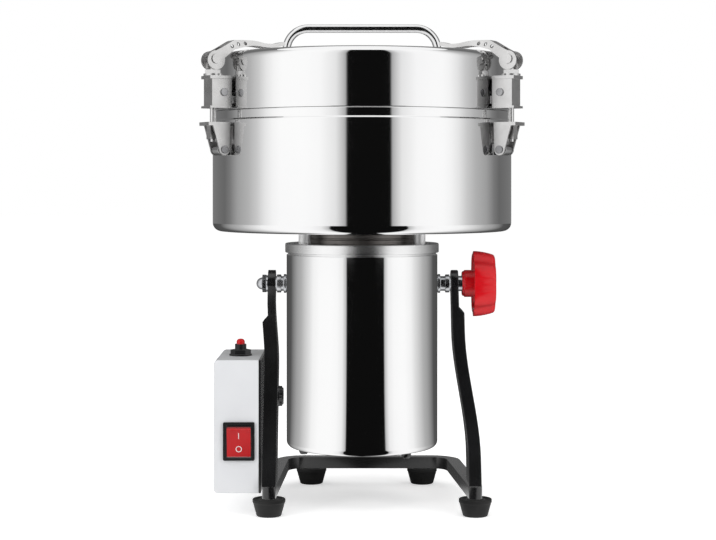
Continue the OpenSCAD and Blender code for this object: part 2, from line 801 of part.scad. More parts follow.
module lower_bracket() {
    color("#a3a5a9") translate([0, 0, low_bracket_z]) difference() {
        union() {
            ring(barrel_in, barrel_in - bracket_arm_h, bracket_ring_h);
            cylinder(r = low_bearing_r + 5, h = low_bearing_h + bracket_floor);
            for (a = [30, 90, 150]) rotate([0, 0, a]) translate([-barrel_in + 3, -brush_w / 2, 0])
                cube([2 * barrel_in - 6, brush_w, bracket_arm_h]);
        }
        translate([0, 0, bracket_floor]) cylinder(r = low_bearing_r, h = low_bearing_h + 1);
        translate([0, 0, -1]) cylinder(r = shaft_d / 2 + 2, h = low_bearing_h);
    }
}

// two brushes in their holders, each on a pillar that stands on an arm of the bracket
module brush_holders() {
    mid = commutator_z + commutator_h / 2;
    foot = low_bracket_z + bracket_arm_h;
    clamp_at = commutator_r + brush_l / 2;
    color("#8a6a2a") for (s = [-1, 1]) rotate([0, 0, 90 * s]) {
        translate([commutator_r + air_gap, -brush_w / 2, mid - brush_h / 2])
            cube([brush_l, brush_w, brush_h]);
        translate([clamp_at, -brush_w / 2 - 3, mid - brush_h / 2 - 3])
            cube([brush_clamp, brush_w + 6, brush_h + 6]);
        translate([clamp_at, -brush_w / 2 + 1, foot]) cube([brush_clamp, brush_w - 2, mid - foot]);
    }
}

// a ball bearing with its two races and its shields
module bearing(r_out, r_in, h) {
    difference() {
        cylinder(r = r_out, h = h);
        translate([0, 0, -1]) cylinder(r = r_in, h = h + 2);
        for (z = [h - shield_depth, -1]) translate([0, 0, z])
            ring(r_out - 3.2, r_in + 2.6, 1 + shield_depth);
    }
}

module lower_bearing() {
    color("#dcdee0") translate([0, 0, low_bearing_z])
        bearing(low_bearing_r, shaft_d / 2 + run, low_bearing_h);
}

module upper_bearing() {
    color("#dcdee0") translate([0, 0, collar_z - up_bearing_seat + up_bearing_floor])
        bearing(up_bearing_r, shaft_d / 2 + run, up_bearing_h);
}

// ---- rotor ----

module motor_shaft() {
    color("#b6b8bc") translate([0, 0, shaft_bottom])
        cylinder(d = shaft_d, h = shaft_top - shaft_bottom);
}

// what the shaft passes through
module shaft_bore() {
    translate([0, 0, -1]) cylinder(d = shaft_d, h = shaft_top);
}

module armature() {
    slot = 3;
    color("#8c5a2e") translate([0, 0, core_z]) difference() {
        union() {
            cylinder(r = armature_r, h = core_h);
            translate([0, 0, 2 - winding_end])
                cylinder(r = armature_r - 6, h = core_h + 2 * winding_end - 4);
        }
        for (i = [0 : armature_slots - 1]) rotate([0, 0, i * 360 / armature_slots])
            translate([armature_r - slot, -slot / 3, -1]) cube([2 * slot, slot / 1.5, core_h + 2]);
        translate([0, 0, -winding_end]) cylinder(d = shaft_d, h = core_h + 2 * winding_end);
    }
}

module commutator() {
    color("#b5692f") translate([0, 0, commutator_z]) difference() {
        cylinder(r = commutator_r, h = commutator_h);
        for (i = [0 : commutator_bars - 1]) rotate([0, 0, i * 360 / commutator_bars])
            translate([commutator_r - 1, -0.3, -1]) cube([3, 0.6, commutator_h + 2]);
        shaft_bore();
    }
}

module cooling_fan() {
    vane = 1.8;
    color("#3a3a3d") translate([0, 0, fan_z]) difference() {
        union() {
            translate([0, 0, fan_h - fan_disc]) cylinder(r = fan_r, h = fan_disc);
            cylinder(r = fan_hub_r, h = fan_h);
            for (i = [0 : fan_blades - 1]) rotate([0, 0, i * 360 / fan_blades])
                translate([fan_hub_r - 1, -vane / 2, 0])
                    cube([fan_r - fan_hub_r, vane, fan_h - fan_disc / 2]);
        }
        shaft_bore();
    }
}

// side view of a blade: flat in the middle, with both tips bent up by the same angle
module blade_side(len, tip_bend) {
    flat = len / 2 - blade_tip;
    run_out = blade_tip * cos(tip_bend);
    rise = blade_tip * sin(tip_bend);
    polygon([[-flat - run_out, rise], [-flat, 0], [flat, 0], [flat + run_out, rise],
        [flat + run_out, rise + blade_t], [flat, blade_t], [-flat, blade_t],
        [-flat - run_out, rise + blade_t]]);
}

// plan of a blade, with one corner of each tip cut off at a slant
module blade_plan(len) {
    for (s = [0, 180]) rotate(s)
        polygon([[-1, -blade_w / 2], [len / 2 - blade_w * 0.7, -blade_w / 2], [len / 2, blade_w * 0.1],
            [len / 2, blade_w / 2], [-1, blade_w / 2]]);
}

module blade(len, z, turn, tip_bend) {
    translate([0, 0, z]) rotate([0, 0, turn]) difference() {
        intersection() {
            translate([0, blade_w, 0]) rotate([90, 0, 0]) linear_extrude(2 * blade_w)
                blade_side(len, tip_bend);
            translate([0, 0, -1]) linear_extrude(len) blade_plan(len);
        }
        // the ground edge along each half's leading side
        for (s = [0, 180]) rotate([0, 0, s]) translate([shaft_d, blade_w / 2 - blade_bevel, blade_t])
            rotate([-atan(blade_t / blade_bevel / 1.5), 0, 0]) cube([len / 2, blade_w, len]);
        translate([0, 0, -1]) cylinder(d = shaft_d, h = blade_t + 2);
    }
}

module lower_blade() { color("#e2e4e6") blade(lower_blade_len, hub_z, 35, lower_tip_bend); }
module upper_blade() { color("#e2e4e6") blade(upper_blade_len, upper_z, 125, upper_tip_bend); }

// the spacer between the blades, and the short one under the lower blade
module blade_spacer() {
    color("#b0b2b6") difference() {
        union() {
            translate([0, 0, hub_z + blade_t]) cylinder(d = shaft_d + 14, h = spacer_h);
            translate([0, 0, hub_z - blade_t]) cylinder(d = shaft_d + 8, h = blade_t);
        }
        shaft_bore();
    }
}

module blade_nut() {
    color("#cfd1d4") difference() {
        union() {
            translate([0, 0, nut_z]) cylinder(d = shaft_d + 14, h = nut_washer);
            translate([0, 0, nut_z + nut_washer]) cylinder(d = shaft_d + 10, h = blade_nut_h, $fn = 6);
        }
        shaft_bore();
    }
}

// ---- locking knob ----

knob_x = right_leg_in + leg_top_t + slide;
knob_washer = 3;
// how far the stud is screwed into the knob
stud_in = 11;

module lock_knob() {
    grip_start = knob_washer + knob_hub_l;
    cup_depth = 5;
    rim_in = 7;
    edge = 3;
    lobe_r = knob_d * 0.145;
    color("#d2121b") translate([knob_x, 0, tilt_z]) rotate([0, 90, 0]) difference() {
        union() {
            translate([0, 0, knob_washer]) cylinder(d = knob_hub_d, h = knob_hub_l + cup_depth + 2);
            translate([0, 0, grip_start])
                cylinder(d1 = knob_d - rim_in, d2 = knob_outer_d - rim_in, h = knob_t - edge);
            translate([0, 0, grip_start + knob_t - edge])
                cylinder(d1 = knob_outer_d - rim_in, d2 = knob_outer_d - rim_in - 8, h = edge);
            for (i = [0 : knob_lobes - 1]) rotate([0, 0, (i + 0.5) * 360 / knob_lobes])
                knob_lobe(grip_start, lobe_r);
        }
        translate([0, 0, grip_start - 1]) ring(knob_d / 2 - rim_in, knob_hub_d / 2 + 1, cup_depth + 1);
        translate([0, 0, knob_washer - 1]) cylinder(d = pivot_d, h = stud_in + 1);
    }
}

// one lobe of the grip, which leans in towards the knob's outer face
module knob_lobe(start, r) {
    lean = (knob_d - knob_outer_d) / 2;
    edge = 4;
    leaning = [[1, 0, -lean / knob_t, 0], [0, 1, 0, 0], [0, 0, 1, 0]];
    translate([knob_d / 2 - r, 0, start]) multmatrix(leaning) {
        cylinder(r = r, h = knob_t - edge);
        translate([0, 0, knob_t - edge]) cylinder(r1 = r, r2 = r - 3.5, h = edge);
    }
}

module knob_stud() {
    color("#9a9ca0") translate([0, 0, tilt_z]) rotate([0, 90, 0]) {
        translate([0, 0, barrel_in])
            cylinder(d = pivot_d, h = knob_x + knob_washer + stud_in - barrel_in);
        translate([0, 0, knob_x]) cylinder(d = pivot_d + 5, h = knob_washer);
    }
}

// ---- lid ----

module lid() {
    inner = lid_shoulder - lid_wall;
    color("#d4d6d9") rotate_extrude() {
        translate([0, lid_top - lid_wall]) square([lid_r - lid_shoulder, lid_wall]);
        translate([lid_r - lid_wall, mouth_z]) square([lid_wall, lid_h - lid_shoulder]);
        translate([lid_r - lid_shoulder, lid_top - lid_shoulder]) intersection() {
            difference() {
                circle(r = lid_shoulder);
                circle(r = inner);
            }
            square(lid_shoulder);
        }
        translate([lid_r - rim_w, mouth_z]) square([rim_w, 2.4]);
    }
}

module lid_seal() {
    color("#e8e8e4") translate([0, 0, mouth_z - seal_h])
        ring(seal_r + seal_w / 2, seal_r - seal_w / 2, seal_h);
}

module lid_handle() {
    half = handle_span / 2;
    low = lid_top;
    high = lid_top + handle_h - handle_d / 2;
    color("#dadcdf") {
        for (s = [-1, 1]) {
            translate([s * half, 0, low]) cylinder(d = handle_d, h = high - handle_bend - low);
            translate([s * half, 0, low]) cylinder(d = handle_d + 4, h = 1.2);
            translate([s * (half - handle_bend), 0, high - handle_bend]) mirror([s < 0 ? 1 : 0, 0, 0])
                handle_corner();
        }
        translate([0, 0, high]) rotate([0, 90, 0])
            cylinder(d = handle_d, h = handle_span - 2 * handle_bend, center = true);
    }
}

// a quarter turn of the handle's rod
module handle_corner() {
    rotate([90, 0, 0]) rotate_extrude(angle = 90) translate([handle_bend, 0]) circle(d = handle_d);
}

module lid_lugs() {
    lug_low = mouth_z + 4.4;
    chamfer = 1.5;
    color("#c2c4c8") for (i = [0 : 2]) at_clamp(i) difference() {
        clamp_plate(lug_w, -lug_w / 2) polygon([[lid_r - 2, lug_low], [lug_out - chamfer, lug_low],
            [lug_out, lug_low + chamfer], [lug_out, lug_top], [lid_r - 2, lug_top]]);
        cylinder(r = lid_r, h = 2 * lid_top);
    }
}

// ---- clamps ----

// the swinging foot of a clamp: a top plate on two tapering cheeks
module clamp_yoke(i) {
    yoke_in = bowl_r + 1.6;
    color("#c6c8cc") at_clamp(i) difference() {
        union() {
            for (s = [-1, 1]) clamp_plate(clamp_sheet, s < 0 ? -yoke_w / 2 : yoke_w / 2 - clamp_sheet)
                union() {
                    translate([hinge_u, hinge_z]) circle(r = nose_r);
                    polygon([[hinge_u - nose_r, hinge_z], [yoke_in, yoke_top], [saddle_out, yoke_top],
                        [hinge_u + nose_r, hinge_z]]);
                }
            translate([yoke_in, -yoke_w / 2, yoke_top - clamp_sheet])
                cube([yoke_out - yoke_in, yoke_w, clamp_sheet + 1]);
        }
        cross_pin(hinge_u, hinge_z, hinge_pin_d, yoke_w + 2);
        translate([rod_u, 0, hinge_z]) cylinder(d = rod_d, h = 60);
    }
}

// the rod with its square nut below and its cross barrel above
module clamp_rod(i) {
    nut_h = 11;
    nut_z = yoke_top - clamp_sheet - nut_h;
    rod_end = nut_z - 2;
    flat_h = washer_h / 3;
    color("#b9bbbf") at_clamp(i) {
        translate([rod_u, 0, rod_end]) cylinder(d = rod_d, h = cam_z - rod_end);
        translate([rod_u - nut_w / 2, -nut_w / 2, nut_z]) cube([nut_w, nut_w, nut_h]);
        cross_pin(rod_u, cam_z, barrel_pin_d, lever_w + 2.4);
        translate([rod_u, 0, saddle_top]) cylinder(d = washer_d, h = flat_h);
        translate([rod_u, 0, saddle_top + flat_h])
            cylinder(d = washer_d - 1, h = washer_h - flat_h, $fn = 6);
    }
}

// the box-shaped saddle that presses the lid down
module clamp_saddle(i) {
    in_u = lid_r + 1.6;
    brim = 0.8;
    color("#cfd1d4") at_clamp(i) difference() {
        union() {
            for (s = [-1, 1]) clamp_plate(clamp_sheet, s < 0 ? -saddle_w / 2 : saddle_w / 2 - clamp_sheet)
                translate([in_u, saddle_low]) square([saddle_out - in_u, saddle_top - saddle_low]);
            translate([saddle_out - clamp_sheet, -saddle_w / 2, saddle_low])
                cube([clamp_sheet, saddle_w, saddle_top - saddle_low]);
            translate([in_u, -saddle_w / 2 - brim, saddle_top - saddle_plate])
                cube([saddle_out - in_u + 2, saddle_w + 2 * brim, saddle_plate]);
            translate([bowl_r + 1.2, -saddle_w / 2 - brim, saddle_low])
                cube([saddle_out - bowl_r + brim, saddle_w + 2 * brim, clamp_sheet]);
        }
        translate([rod_u, 0, mouth_z - 5]) cylinder(d = rod_d, h = 60);
        cross_pin(hinge_u, press_z, press_pin_d, saddle_w + 4);
    }
}

// the hinge pin in the bowl's lug and the pressing pin over the lid's lug
module clamp_pins(i) {
    head_h = 1.2;
    color("#8f9195") at_clamp(i) {
        cross_pin(hinge_u, hinge_z, hinge_pin_d, yoke_w);
        cross_pin(hinge_u, press_z, press_pin_d, saddle_w);
        for (s = [-1, 1]) {
            translate([0, s * (yoke_w + head_h) / 2, 0])
                cross_pin(hinge_u, hinge_z, hinge_pin_d + 2.4, head_h);
            translate([0, s * (saddle_w + head_h) / 2, 0])
                cross_pin(hinge_u, press_z, press_pin_d + 1.4, head_h);
        }
    }
}

// spine of the lever's arm, from the cam to the tip: a cubic curve in (u, z)
lever_tip_up = 21.2;
lever_knots = [[0, 1.5], [-17, 9.5], [-26, 27], [-lever_len, lever_tip_up]];
function bezier(p, t) = p[0] * pow(1 - t, 3) + p[1] * 3 * t * pow(1 - t, 2)
    + p[2] * 3 * t * t * (1 - t) + p[3] * pow(t, 3);
// half height of the arm along the spine
function arm_half(t) = 5.2 - 3.6 * ease(t * 1.15);
arm_steps = 20;
arm_t = [for (i = [0 : arm_steps]) i / arm_steps];

module arm_band(top_off, low_off) {
    upper = [for (t = arm_t) bezier(lever_knots, t) + [0, top_off * arm_half(t)]];
    lower = [for (i = [arm_steps : -1 : 0])
        bezier(lever_knots, arm_t[i]) + [0, low_off * arm_half(arm_t[i])]];
    polygon(concat(upper, lower));
}

// side view of the whole lever
module lever_side() {
    arm_band(1, -1);
    translate([0, -cam_throw]) circle(r = cam_r);
    translate([-lever_len, lever_tip_up]) circle(r = 1.6);
}

module cam_lever(i) {
    cheek = 1.9;
    pocket = lever_w - 2 * cheek;
    solid_tip = 14;
    color("#d8dadd") at_clamp(i) translate([rod_u, 0, cam_z]) difference() {
        clamp_plate(lever_w, -lever_w / 2) lever_side();
        // the folded channel is hollow from below, except at its tip
        difference() {
            clamp_plate(pocket, -pocket / 2) union() {
                translate([0, 0.2 - cheek]) arm_band(1, -8);
                circle(r = cam_r + 4);
            }
            translate([-lever_len - 5, -lever_w, 0]) cube([solid_tip, 2 * lever_w, 2 * lever_tip_up]);
        }
        cross_pin(0, 0, barrel_pin_d + 2 * run, lever_w + 2);
        // three holes that lighten the arm
        for (t = [0.3, 0.42, 0.54]) {
            p = bezier(lever_knots, t);
            cross_pin(p[0], p[1], 3, lever_w + 2);
        }
    }
}

module clamp_yoke_left() { clamp_yoke(0); }
module clamp_rod_left() { clamp_rod(0); }
module clamp_saddle_left() { clamp_saddle(0); }
module clamp_pins_left() { clamp_pins(0); }
module cam_lever_left() { cam_lever(0); }
module clamp_yoke_right() { clamp_yoke(1); }
module clamp_rod_right() { clamp_rod(1); }
module clamp_saddle_right() { clamp_saddle(1); }
module clamp_pins_right() { clamp_pins(1); }
module cam_lever_right() { cam_lever(1); }
module clamp_yoke_rear() { clamp_yoke(2); }
module clamp_rod_rear() { clamp_rod(2); }
module clamp_saddle_rear() { clamp_saddle(2); }
module clamp_pins_rear() { clamp_pins(2); }
module cam_lever_rear() { cam_lever(2); }

base_frame();
left_leg();
right_leg();
rubber_feet();
box_housing();
box_back_plate();
box_bolts();
switch_frame();
rocker();
breaker_body();
breaker_nut();
breaker_button();
motor_shell();
bottom_cover();
cover_screws();
top_plate();
seal_collar();
bowl_posts();
bowl();
bowl_lugs();
pivot_bosses();
pivot_bolt();
stator();
field_coils();
lower_bracket();
brush_holders();
lower_bearing();
upper_bearing();
motor_shaft();
armature();
commutator();
cooling_fan();
lower_blade();
blade_spacer();
upper_blade();
blade_nut();
lock_knob();
knob_stud();
lid();
lid_seal();
lid_handle();
lid_lugs();
clamp_yoke_left();
clamp_rod_left();
clamp_saddle_left();
clamp_pins_left();
cam_lever_left();
clamp_yoke_right();
clamp_rod_right();
clamp_saddle_right();
clamp_pins_right();
cam_lever_right();
clamp_yoke_rear();
clamp_rod_rear();
clamp_saddle_rear();
clamp_pins_rear();
cam_lever_rear();
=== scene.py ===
from math import atan2, cos, degrees, pi, radians, sin, tan
import json

import bpy
from mathutils import Matrix, Vector


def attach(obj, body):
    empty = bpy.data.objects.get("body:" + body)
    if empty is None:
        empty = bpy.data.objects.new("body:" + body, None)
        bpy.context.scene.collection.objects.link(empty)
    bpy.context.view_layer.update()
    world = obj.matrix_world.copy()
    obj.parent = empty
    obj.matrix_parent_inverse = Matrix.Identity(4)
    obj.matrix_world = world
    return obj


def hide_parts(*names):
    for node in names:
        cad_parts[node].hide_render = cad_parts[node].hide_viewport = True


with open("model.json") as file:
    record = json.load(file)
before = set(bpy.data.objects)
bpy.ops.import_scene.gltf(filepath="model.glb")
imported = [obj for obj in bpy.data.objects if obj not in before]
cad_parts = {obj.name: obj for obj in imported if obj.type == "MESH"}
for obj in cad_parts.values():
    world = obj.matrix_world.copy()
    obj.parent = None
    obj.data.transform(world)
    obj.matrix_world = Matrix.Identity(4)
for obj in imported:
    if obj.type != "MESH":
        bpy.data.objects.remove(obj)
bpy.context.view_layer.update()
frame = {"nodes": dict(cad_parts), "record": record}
bpy.ops.object.select_all(action="DESELECT")

MM = 0.001

# ---------------------------------------------------------------------------
# Sizes of the mill in millimetres, as its frame has them
# ---------------------------------------------------------------------------
# a closed top or bottom ends just beside the axis
AXIS_R = 0.01
FOOT_H = 14.0
FOOT_TOP_R = 13.3
FOOT_FLOOR_R = 9.9
FOOT_SOLE = 0.5
FOOT_SOLE_R = 7.2
FOOT_DISH = 1.2
FOOT_SEAT_R = 7.4
FOOT_PEG_R = 2.5
FOOT_PEG_H = 4.9
FEET = {"front_left": (-75.0, -75.0), "front_right": (91.3, -75.0),
        "rear_left": (-45.1, 75.0), "rear_right": (53.6, 75.0)}
BARREL_R = 64.0
BARREL_WALL = 1.2
BARREL_LOW = 45.2
BARREL_TOP = 207.9
BARREL_CORNER = 5.0
BARREL_FOLD = 8.0
BARREL_FOLD_H = 2.0
CAP_R = 65.2
CAP_Z = 209.4
CAP_SPIGOT = 5.0
CAP_PLAY = 0.05
BEARING_SEAT_R = 20.1
BEARING_SEAT_DEPTH = 14.0
BEARING_BOSS_R = 26.0
BEARING_BOSS_DEPTH = 17.0
BEARING_LIP_R = 9.1
COLLAR_Z = 217.3
COLLAR_R = 45.3
COLLAR_BORE_R = 6.7
COLLAR_GROOVE = 0.7
COLLAR_STEP = 2.3
COLLAR_STEP_H = 2.4
SLEEVE_R = 11.9
SLEEVE_H = 6.5
BOWL_Z = 227.8
BOWL_R = 126.4
BOWL_WALL = 1.6
BOWL_CORNER = 7.0
BOWL_HOLE_R = 12.0
RIM_Z = 319.8
MOUTH_Z = 327.8
RIM_R = 125.0
RIM_W = 7.0
SEAL_R = 121.5
SEAL_W = 3.0
SEAL_DEPTH = 3.0
LID_R = 124.5
LID_WALL = 1.5
LID_TOP = 376.2
LID_SHOULDER = 7.0
# width of the ring at the edge of the lid's top that falls
LID_FALL = 14.0
LID_RIM_H = 2.4
HANDLE_D = 7.0
HANDLE_SPAN = 128.0
HANDLE_TOP = 402.8
HANDLE_BEND = 18.0
TILT_Z = 182.8
KNOB_HUB = (84.8, 94.1)
KNOB_GRIP = (94.1, 112.8)
KNOB_R = 28.0
KNOB_OUTER_R = 25.2
KNOB_BORE_R = 4.0
KNOB_HUB_R = 11.5
KNOB_HUB_IN = 6.0
KNOB_LOBES = 7
KNOB_WAIST = 0.88
# the knob is drawn a little wide, because subdivision pulls it in
KNOB_SWELL = 1.004
ROCKER_AT = (-99.25, -70.0, 60.0)
ROCKER_LEAN = radians(9)
ROCKER_DEPTH = 7.0
ROCKER_HALF = 11.0
ROCKER_RISE = 1.2
# the marks on the rocker, with their heights above and below its middle
STROKE_SIZE = (0.6, 0.35, 5.2)
STROKE_Z = 6.0
RING_MARK_R = 2.2
RING_MARK_LINE = 0.6
RING_MARK_FLAT = 0.45
RING_MARK_Z = -5.0
MARK_EDGE = 0.12
# where the three clamps stand round the mill, in degrees
CLAMP_TURNS = {"left": 210, "right": 330, "rear": 90}
CAM_PIVOT_R = 139.2
# how far the cam lever's arm lies below a plain arc: distance from the pivot, drop
ARM_DROP = ((16, 0), (20, 2), (26, 4.5), (31, 6), (36, 7.5), (43, 9.6), (50, 10.3), (57, 8.5),
            (61, 6.8))

# vertices nearer to each other than these, in metres, are one vertex
SAME_POINT = 1e-7
SAME_VERTEX = 1e-6
SPIN_SEAM = 2e-6
CAD_SEAM = 4e-6
# in degrees: one step of a rounded corner, a corner that is an edge, and what is still flat
ARC_STEP = 11
EDGE_ANGLE = 34
FLAT_ANGLE = 0.6


# ---------------------------------------------------------------------------
# Small steps in edit mode
# ---------------------------------------------------------------------------
def only(obj):
    bpy.ops.object.select_all(action="DESELECT")
    obj.select_set(True)
    bpy.context.view_layer.objects.active = obj


def edit(obj, mode="VERT"):
    only(obj)
    bpy.ops.object.mode_set(mode="EDIT")
    bpy.ops.mesh.select_mode(type=mode)


def done():
    bpy.ops.object.mode_set(mode="OBJECT")


def pick(obj, mode, wanted):
    """Selects just the vertices or the faces that are wanted, and stays in edit mode."""
    bpy.ops.mesh.select_mode(type=mode)
    bpy.ops.mesh.select_all(action="DESELECT")
    done()
    for item in obj.data.vertices if mode == "VERT" else obj.data.polygons:
        item.select = wanted(item)
    bpy.ops.object.mode_set(mode="EDIT")


def named(name):
    obj = bpy.context.object
    obj.name = name
    obj.data.name = name
    return obj


def apply_place(obj):
    only(obj)
    bpy.ops.object.transform_apply(location=True, rotation=True, scale=True)


def smooth(obj, angle=32):
    only(obj)
    bpy.ops.object.shade_smooth_by_angle(angle=radians(angle))


def apply_modifier(obj, kind, **settings):
    only(obj)
    mod = obj.modifiers.new(kind.lower(), kind)
    for key, value in settings.items():
        setattr(mod, key, value)
    bpy.ops.object.modifier_apply(modifier=mod.name)


def draw_out(x, y, z):
    """Extrudes what is selected by a step in metres."""
    bpy.ops.mesh.extrude_region_move(TRANSFORM_OT_translate={"value": (x, y, z)})


def tidy_normals(obj):
    edit(obj)
    bpy.ops.mesh.select_all(action="SELECT")
    bpy.ops.mesh.remove_doubles(threshold=SAME_VERTEX)
    bpy.ops.mesh.normals_make_consistent(inside=False)
    done()


def rounded(corners):
    """A closed profile of (r, z, radius) corners with each corner turned into an arc."""
    points = []
    count = len(corners)
    for i, (r, z, radius) in enumerate(corners):
        at = Vector((r, z))
        if radius <= 0:
            points.append(at)
            continue
        before = Vector(corners[i - 1][:2]) - at
        after = Vector(corners[(i + 1) % count][:2]) - at
        half = before.angle(after) / 2
        reach = radius / tan(half)
        centre = at + (before.normalized() + after.normalized()).normalized() * radius / sin(half)
        first = at + before.normalized() * reach - centre
        last = at + after.normalized() * reach - centre
        turn = atan2(first.cross(last), first.dot(last))
        steps = max(3, round(abs(degrees(turn)) / ARC_STEP))
        for k in range(steps + 1):
            points.append(centre + Matrix.Rotation(turn * k / steps, 2) @ first)
    return [(p.x, p.y) for p in points]


def spun(name, profile, steps=160, centre=(0, 0, 0), to_x=False):
    """A vertex drawn along a closed profile of (r, z) millimetres, then spun round the z axis and
    moved to its centre. With to_x it is turned first, so that its axis lies along x."""
    bpy.ops.mesh.primitive_plane_add(size=MM, location=(0, 0, 0))
    obj = named(name)
    edit(obj)
    bpy.ops.mesh.select_all(action="SELECT")
    bpy.ops.mesh.merge(type="CENTER")
    r, z = profile[0]
    bpy.ops.transform.translate(value=(r * MM, 0, z * MM))
    for r_next, z_next in profile[1:]:
        draw_out((r_next - r) * MM, 0, (z_next - z) * MM)
        r, z = r_next, z_next
    bpy.ops.mesh.select_all(action="SELECT")
    bpy.ops.mesh.remove_doubles(threshold=SAME_POINT)
    done()
    edges_at = [0] * len(obj.data.vertices)
    for edge in obj.data.edges:
        for i in edge.vertices:
            edges_at[i] += 1
    bpy.ops.object.mode_set(mode="EDIT")
    # the two loose ends are joined, which closes the profile
    pick(obj, "VERT", lambda v: edges_at[v.index] == 1)
    bpy.ops.mesh.edge_face_add()
    bpy.ops.mesh.select_all(action="SELECT")
    bpy.ops.mesh.spin(steps=steps, angle=2 * pi, center=(0, 0, 0), axis=(0, 0, 1))
    bpy.ops.mesh.select_all(action="SELECT")
    bpy.ops.mesh.remove_doubles(threshold=SPIN_SEAM)
    bpy.ops.mesh.normals_make_consistent(inside=False)
    done()
    if to_x:
        obj.rotation_euler = (0, pi / 2, 0)
    obj.location = [c * MM for c in centre]
    apply_place(obj)
    smooth(obj)
    apply_modifier(obj, "WEIGHTED_NORMAL", keep_sharp=True, weight=90)
    return obj


def softened(name, node, width, shape=None):
    """A copy of a CAD node with its loose triangles merged and its edges rounded to a width in
    millimetres. A shape function, if there is one, then reshapes the copy."""
    source = frame["nodes"][node]
    obj = source.copy()
    obj.data = source.data.copy()
    bpy.context.scene.collection.objects.link(obj)
    obj.parent = None
    for key in list(obj.keys()):
        del obj[key]
    obj.name = name
    obj.data.name = name
    obj.data.materials.clear()
    edit(obj)
    bpy.ops.mesh.select_all(action="SELECT")
    bpy.ops.mesh.customdata_custom_splitnormals_clear()
    bpy.ops.mesh.remove_doubles(threshold=CAD_SEAM)
    bpy.ops.mesh.dissolve_limited(angle_limit=radians(FLAT_ANGLE))
    done()
    apply_modifier(obj, "BEVEL", width=width * MM, segments=2, limit_method="ANGLE",
                   angle_limit=radians(EDGE_ANGLE), use_clamp_overlap=True,
                   miter_outer="MITER_ARC")
    if shape:
        shape(obj)
    smooth(obj, 40)
    apply_modifier(obj, "WEIGHTED_NORMAL", keep_sharp=True, weight=80)
    return obj


def joined(name, *pieces):
    bpy.ops.object.select_all(action="DESELECT")
    for p in pieces:
        p.select_set(True)
    bpy.context.view_layer.objects.active = pieces[0]
    bpy.ops.object.join()
    return named(name)


# ---------------------------------------------------------------------------
# Shared surface effects, as node groups that give values, colours or heights
# ---------------------------------------------------------------------------
def group(name, inputs, outputs):
    tree = bpy.data.node_groups.new(name, "ShaderNodeTree")
    for label, kind, default in inputs:
        socket = tree.interface.new_socket(label, in_out="INPUT", socket_type="NodeSocket" + kind)
        if default is not None:
            socket.default_value = default
    for label, kind in outputs:
        tree.interface.new_socket(label, in_out="OUTPUT", socket_type="NodeSocket" + kind)
    start = tree.nodes.new("NodeGroupInput")
    end = tree.nodes.new("NodeGroupOutput")
    return tree, start, end


def noise_over(tree, vector, scale, detail):
    noise = tree.nodes.new("ShaderNodeTexNoise")
    noise.inputs["Detail"].default_value = detail
    tree.links.new(vector, noise.inputs["Vector"])
    tree.links.new(scale, noise.inputs["Scale"])
    return noise.outputs["Fac"]


def mapped(tree, value, low, high, start=0.3, end=0.7):
    """Stretches a value from start..end to low..high, where low and high may be sockets."""
    ramp = tree.nodes.new("ShaderNodeMapRange")
    ramp.inputs["From Min"].default_value = start
    ramp.inputs["From Max"].default_value = end
    tree.links.new(value, ramp.inputs["Value"])
    for socket, label in ((low, "To Min"), (high, "To Max")):
        if isinstance(socket, float):
            ramp.inputs[label].default_value = socket
        else:
            tree.links.new(socket, ramp.inputs[label])
    return ramp.outputs["Result"]


def make_uneven_value():
    """Cloudy change of a value over the surface, such as roughness where hands have wiped it."""
    tree, start, end = group("uneven_value", [("Vector", "Vector", None), ("Scale", "Float", 20.0),
                                              ("Low", "Float", 0.1), ("High", "Float", 0.2)],
                             [("Value", "Float")])
    fac = noise_over(tree, start.outputs["Vector"], start.outputs["Scale"], 4)
    out = mapped(tree, fac, start.outputs["Low"], start.outputs["High"])
    tree.links.new(out, end.inputs["Value"])
    return tree


def make_grain_height():
    """Fine even grain, such as moulded plastic, rubber skin or the orange peel of paint."""
    tree, start, end = group("grain_height", [("Vector", "Vector", None),
                                              ("Scale", "Float", 900.0)],
                             [("Height", "Float")])
    fac = noise_over(tree, start.outputs["Vector"], start.outputs["Scale"], 2)
    tree.links.new(fac, end.inputs["Height"])
    return tree


def make_turned_lines():
    """Fine lines that run round the vertical axis, as a lathe or a polishing wheel leaves them."""
    tree, start, end = group("turned_lines", [("Vector", "Vector", None),
                                              ("Density", "Float", 900.0)],
                             [("Height", "Float")])
    split = tree.nodes.new("ShaderNodeSeparateXYZ")
    tree.links.new(start.outputs["Vector"], split.inputs[0])
    across = tree.nodes.new("ShaderNodeVectorMath")
    across.operation = "LENGTH"
    flat = tree.nodes.new("ShaderNodeCombineXYZ")
    tree.links.new(split.outputs["X"], flat.inputs["X"])
    tree.links.new(split.outputs["Y"], flat.inputs["Y"])
    tree.links.new(flat.outputs[0], across.inputs[0])
    lines = tree.nodes.new("ShaderNodeCombineXYZ")
    tree.links.new(across.outputs["Value"], lines.inputs["X"])
    tree.links.new(split.outputs["Z"], lines.inputs["Z"])
    fac = noise_over(tree, lines.outputs[0], start.outputs["Density"], 3)
    tree.links.new(fac, end.inputs["Height"])
    return tree


